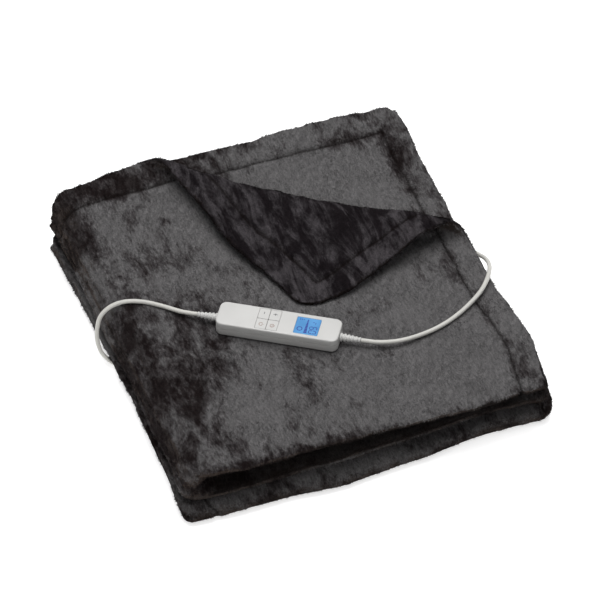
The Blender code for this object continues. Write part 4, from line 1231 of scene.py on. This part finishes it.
def make_pile(blanket, finish):
    """Short leaning blades all over the cloth that shows, brushed this way and that."""
    mesh = blanket.data
    points, faces = corners_of(mesh)
    shown = faces[open_faces(mesh, points, faces)]
    corners = points[shown]
    across = np.cross(corners[:, 1] - corners[:, 0], corners[:, 2] - corners[:, 0])
    area = np.linalg.norm(across, axis=1)
    pieces = []
    for number in range(PILE_PIECES):
        random = np.random.default_rng(31 + number)
        pick = random.choice(len(shown), PILE_EACH, p=area / area.sum())
        share = random.random((PILE_EACH, 2))
        flip = share.sum(axis=1) > 1
        share[flip] = 1 - share[flip]
        weights = np.stack([1 - share.sum(axis=1), share[:, 0], share[:, 1]], axis=1)
        feet = (corners[pick] * weights[:, :, None]).sum(axis=1)
        normal = unit(across[pick])
        lie = lie_field(feet, np.random.default_rng(5)) + 0.9 * random.normal(size=feet.shape)
        lie -= (lie * normal).sum(axis=1)[:, None] * normal
        lie = unit(lie)
        stand = random.uniform(0.10, 0.42, PILE_EACH)[:, None]
        way = unit(lie + stand * normal)
        wide = unit(np.cross(normal, way)) * (PILE_WIDE * random.uniform(0.6, 1.3, PILE_EACH))[:, None]
        long = (PILE_LONG * random.uniform(0.6, 1.25, PILE_EACH))[:, None]
        foot = feet - normal * PILE_SUNK
        places = np.stack([foot - wide, foot + wide, feet + way * long], axis=1).reshape(-1, 3)
        places[:, 2] = np.maximum(places[:, 2], 0.0001)
        pile = bpy.data.meshes.new("plush_pile_" + str(number))
        count = len(places)
        pile.vertices.add(count)
        pile.vertices.foreach_set("co", places.astype(np.float32).ravel())
        pile.loops.add(count)
        pile.loops.foreach_set("vertex_index", np.arange(count, dtype=np.int32))
        pile.polygons.add(count // 3)
        pile.polygons.foreach_set("loop_start", np.arange(0, count, 3, dtype=np.int32))
        pile.update(calc_edges=True)
        for name in ("under", "seam", "crushed", "hollow", "hem"):
            there = (values_of(mesh, name)[shown[pick]] * weights).sum(axis=1)
            mark(pile, name, np.repeat(there, 3))
        pieces.append(put(pile.name, pile, STACK, finish))
    return pieces


# ---- The hand control ------------------------------------------------------------------------
HAND_TOP = BASE_TALL + PART_GAP + COVER_TALL
PRINT_TALL = 0.00006


def hand_place():
    where = in_stack(HANDSET_AT[0], HANDSET_AT[1], HANDSET_BED + HANDSET_LIFT)
    return Matrix.Translation(where) @ Matrix.Rotation(HANDSET_TURN, 4, "Z")


def rounded_outline(long, wide, corner, steps):
    points = []
    for quarter in range(4):
        middle_x = (long / 2 - corner) * (1 if quarter in (0, 3) else -1)
        middle_y = (wide / 2 - corner) * (1 if quarter in (0, 1) else -1)
        for step in range(steps + 1):
            angle = math.pi / 2 * (quarter + step / steps)
            points.append((middle_x + corner * math.cos(angle), middle_y + corner * math.sin(angle)))
    return points


def rounded_slab(long, wide, corner, levels, steps=4):
    """A slab with a rounded plan. levels holds (height, how far the outline is drawn in)."""
    shape = bmesh.new()
    rings = []
    for height, inset in levels:
        outline = rounded_outline(
            long - 2 * inset, wide - 2 * inset, max(corner - inset, 0.0004), steps
        )
        rings.append([shape.verts.new((x, y, height)) for x, y in outline])
    for low, high in zip(rings, rings[1:]):
        for index in range(len(low)):
            after = (index + 1) % len(low)
            shape.faces.new((low[index], low[after], high[after], high[index]))
    shape.faces.new(rings[0][::-1])
    shape.faces.new(rings[-1])
    return shape


def rounded_levels(low, high, low_round, high_round, steps=5):
    """Heights and insets of a slab whose lower and upper edges are rounded."""
    levels = [(low + low_round * (1 - math.cos(a)), low_round * (1 - math.sin(a))) for a in quarter(steps)]
    levels += [(high - high_round * (1 - math.sin(a)), high_round * (1 - math.cos(a))) for a in quarter(steps)]
    return levels


def quarter(steps):
    return [math.pi / 2 * step / steps for step in range(steps + 1)]


def cut_out(mesh, cutter_shape):
    """The mesh with a shape taken out of it."""
    target = bpy.data.objects.new("target", mesh)
    cutter = bpy.data.objects.new("cutter", mesh_of("cutter", cutter_shape))
    for thing in (target, cutter):
        bpy.context.scene.collection.objects.link(thing)
    modifier = target.modifiers.new("cut", "BOOLEAN")
    modifier.object = cutter
    graph = bpy.context.evaluated_depsgraph_get()
    made = bpy.data.meshes.new_from_object(target.evaluated_get(graph))
    for thing in (target, cutter):
        bpy.data.objects.remove(thing)
    return made


def add_bar(shape, x, y, long, wide, turn=0.0, base=0.0):
    """A flat bar of print, its length along x before it is turned."""
    corners = []
    for height in (base, base + PRINT_TALL):
        for side_x, side_y in ((-1, -1), (1, -1), (1, 1), (-1, 1)):
            along, across = side_x * long / 2, side_y * wide / 2
            spot = (
                x + along * math.cos(turn) - across * math.sin(turn),
                y + along * math.sin(turn) + across * math.cos(turn),
                height,
            )
            corners.append(shape.verts.new(spot))
    low, high = corners[:4], corners[4:]
    shape.faces.new(low[::-1])
    shape.faces.new(high)
    for index in range(4):
        after = (index + 1) % 4
        shape.faces.new((low[index], low[after], high[after], high[index]))


def add_arc(shape, x, y, radius, wide, start, end, steps=20, base=0.0):
    """A flat ring of print, or a part of one, from one angle to another."""
    for step in range(steps):
        angle = start + (end - start) * (step + 0.5) / steps
        long = 1.04 * abs(end - start) * radius / steps
        add_bar(
            shape,
            x + radius * math.cos(angle),
            y + radius * math.sin(angle),
            long,
            wide,
            angle + math.pi / 2,
            base,
        )


SEGMENTS = {"6": "acdefg", "0": "abcdef"}
DIGIT_TALL = 0.0080
DIGIT_WIDE = 0.0042
STROKE = 0.00085


def add_digit(shape, digit, x, y):
    """A seven-segment digit, read with the hand control's right end up."""
    half_tall, half_wide = DIGIT_TALL / 2, DIGIT_WIDE / 2
    inset = STROKE
    lines = {
        "a": (half_tall, 0.0, True),
        "g": (0.0, 0.0, True),
        "d": (-half_tall, 0.0, True),
        "f": (half_tall / 2, half_wide, False),
        "b": (half_tall / 2, -half_wide, False),
        "e": (-half_tall / 2, half_wide, False),
        "c": (-half_tall / 2, -half_wide, False),
    }
    for name in SEGMENTS[digit]:
        up, left, level = lines[name]
        long = (DIGIT_WIDE if level else half_tall) - inset
        add_bar(shape, x + up, y + left, long, STROKE, math.pi / 2 if level else 0.0)


def display_print():
    shape = bmesh.new()
    add_digit(shape, "6", 0.0070, -0.0021)
    add_digit(shape, "0", 0.0070, -0.0081)
    for step in range(9):
        share = step / 8
        add_bar(shape, -0.0008, 0.0092 - 0.0190 * share, 0.0012 + 0.0024 * share, 0.0019)
    add_arc(shape, -0.0078, -0.0052, 0.0028, 0.0009, 0.0, 2 * math.pi)
    for step in range(3):
        add_bar(shape, -0.0096 + 0.0020 * step, 0.0096, 0.0007, 0.0026 - 0.0005 * step)
    add_bar(shape, 0.0060, 0.0070, 0.0022, 0.0006)
    add_bar(shape, 0.0082, 0.0058, 0.0006, 0.0026)
    return shape


def key_print(name):
    """The symbol on a key: minus, plus, power or a clock."""
    shape = bmesh.new()
    if name == "key_minus":
        add_bar(shape, 0.0, 0.0012, 0.0007, 0.0032)
    elif name == "key_plus":
        add_bar(shape, 0.0, 0.0012, 0.0007, 0.0034)
        add_bar(shape, 0.0014, 0.0012, 0.0020, 0.0007)
        add_bar(shape, -0.0014, 0.0012, 0.0020, 0.0007)
    elif name == "key_power":
        add_arc(shape, 0.0, -0.0008, 0.0022, 0.00055, math.radians(40), math.radians(320), 18)
        add_bar(shape, 0.0018, -0.0008, 0.0022, 0.00055)
    else:
        add_arc(shape, 0.0, -0.0008, 0.0022, 0.00055, 0.0, 2 * math.pi)
        add_bar(shape, 0.0007, -0.0008, 0.0016, 0.0005)
        add_bar(shape, 0.0, -0.0014, 0.0005, 0.0011)
    return shape


def turned(profile, sides=14):
    """A solid turned about X from (distance along X, radius) pairs, with flat ends."""
    shape = bmesh.new()
    rings = [
        [
            shape.verts.new(
                (
                    along,
                    radius * math.cos(2 * math.pi * side / sides),
                    radius * math.sin(2 * math.pi * side / sides),
                )
            )
            for side in range(sides)
        ]
        for along, radius in profile
    ]
    for first, second in zip(rings, rings[1:]):
        for side in range(sides):
            after = (side + 1) % sides
            shape.faces.new((first[side], first[after], second[after], second[side]))
    shape.faces.new(rings[0][::-1])
    shape.faces.new(rings[-1])
    return shape


def relief_profile():
    profile = [(0.0, RELIEF_FAT)]
    for rib in range(RELIEF_RIBS):
        for share, sunk in ((0.10, 0.0), (0.20, 0.0004), (0.28, 0.0011), (0.56, 0.0011), (0.64, 0.0004), (0.74, 0.0)):
            part = (rib + share) / RELIEF_RIBS
            radius = RELIEF_FAT + (RELIEF_THIN - RELIEF_FAT) * part - sunk * (1 - 0.45 * part)
            profile.append((0.0015 + part * (RELIEF_LONG - 0.002), radius))
    profile.append((RELIEF_LONG - 0.0003, RELIEF_THIN))
    profile.append((RELIEF_LONG, RELIEF_THIN - 0.0003))
    return profile


def make_handset(finishes):
    place = hand_place()
    white = finishes["white_plastic"]
    base_levels = rounded_levels(0.0, BASE_TALL, BASE_ROUND, 0.0002)
    base = mesh_of("handset_case", rounded_slab(HANDSET_LONG, HANDSET_WIDE, PLAN_CORNER, base_levels, 10))
    base.transform(place)
    case = put("handset_case", base, STACK, finishes["pale_plastic"])
    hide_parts("handset_base")
    bottom = BASE_TALL + PART_GAP
    top_levels = rounded_levels(bottom, HAND_TOP, 0.0002, TOP_ROUND)
    top = mesh_of("handset_top", rounded_slab(HANDSET_LONG, HANDSET_WIDE, PLAN_CORNER, top_levels, 10))
    well = rounded_slab(
        2 * KEY_SIZE[0] + KEY_GAP + 2 * PART_GAP,
        2 * KEY_SIZE[1] + KEY_GAP + 2 * PART_GAP,
        KEY_CORNER + PART_GAP,
        ((HAND_TOP - KEY_WELL, 0.0), (HAND_TOP + ABOVE, 0.0)),
        4,
    )
    bmesh.ops.translate(well, verts=well.verts, vec=(KEYS_AT, 0.0, 0.0))
    top = cut_out(top, well)
    recess = rounded_slab(
        DISPLAY_SIZE[0] + 2 * PART_GAP,
        DISPLAY_SIZE[1] + 2 * PART_GAP,
        DISPLAY_CORNER + PART_GAP,
        ((HAND_TOP - DISPLAY_SIZE[2] - 2 * PART_GAP, 0.0), (HAND_TOP + ABOVE, 0.0)),
        4,
    )
    bmesh.ops.translate(recess, verts=recess.verts, vec=(*DISPLAY_AT, 0.0))
    top = cut_out(top, recess)
    top.name = "handset_top"
    top.materials.clear()
    top.set_sharp_from_angle(angle=math.radians(40))
    top.transform(place)
    cover = put("handset_top", top, STACK, white)
    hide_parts("handset_cover")
    glass_top = HAND_TOP - DISPLAY_SUNK
    print_mesh = mesh_of("display_print", display_print())
    print_mesh.transform(
        place @ Matrix.Translation((DISPLAY_AT[0], DISPLAY_AT[1], glass_top + 0.00001))
    )
    put("display_print", print_mesh, STACK, finishes["display_print"])
    for key in KEYS:
        symbol = mesh_of(key.name + "_print", key_print(key.name))
        height = HAND_TOP + KEY_PROUD + 0.00001
        symbol.transform(place @ Matrix.Translation((key.along, key.across, height)))
        body = key.name.split("_")[1] + "_key"
        ink = finishes["warm_print" if key.across < 0 else "grey_print"]
        put(key.name + "_print", symbol, body, ink)
    for name, way in (("relief_left", -1), ("relief_right", 1)):
        mesh = mesh_of(name + "_ribbed", turned(relief_profile(), 28), math.radians(50))
        spot = Matrix.Translation((way * (HANDSET_LONG / 2 + PART_GAP), 0.0, RELIEF_HEIGHT))
        turn = Matrix.Rotation(0.0 if way > 0 else math.pi, 4, "Z")
        mesh.transform(place @ spot @ turn)
        relief = put(name + "_ribbed", mesh, STACK, white)
        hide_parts(name)


def finish_nodes(finishes):
    """Give each CAD node that still shows its better material."""
    for part in frame["record"]["subparts"]:
        node = frame["nodes"][part["node"]]
        if node.hide_render:
            continue
        node.data.materials.clear()
        node.data.materials.append(finishes[part["material_slot"]])


finishes = {
    "plush": plush_finish(),
    "white_plastic": plastic_finish("white_plastic", (0.64, 0.635, 0.62), 0.38),
    "pale_plastic": plastic_finish("pale_plastic", (0.60, 0.595, 0.58), 0.42),
    "key_plastic": plastic_finish("key_plastic", (0.63, 0.625, 0.61), 0.5),
    "display_glass": display_finish(),
    "white_cord": plastic_finish("white_cord", (0.66, 0.65, 0.61), 0.45),
    "dark_plastic": plastic_finish("dark_plastic", (0.02, 0.02, 0.02), 0.5),
    "pin_metal": metal_finish(),
    "display_print": plastic_finish("display_print", (0.012, 0.030, 0.30), 0.35),
    "grey_print": plastic_finish("grey_print", (0.10, 0.10, 0.105), 0.5),
    "warm_print": plastic_finish("warm_print", (0.28, 0.13, 0.09), 0.5),
}
make_camera()
make_lead(finishes["white_cord"])
make_mains(finishes["white_cord"])
make_studio()
make_blanket(finishes["plush"])
make_handset(finishes)
finish_nodes(finishes)
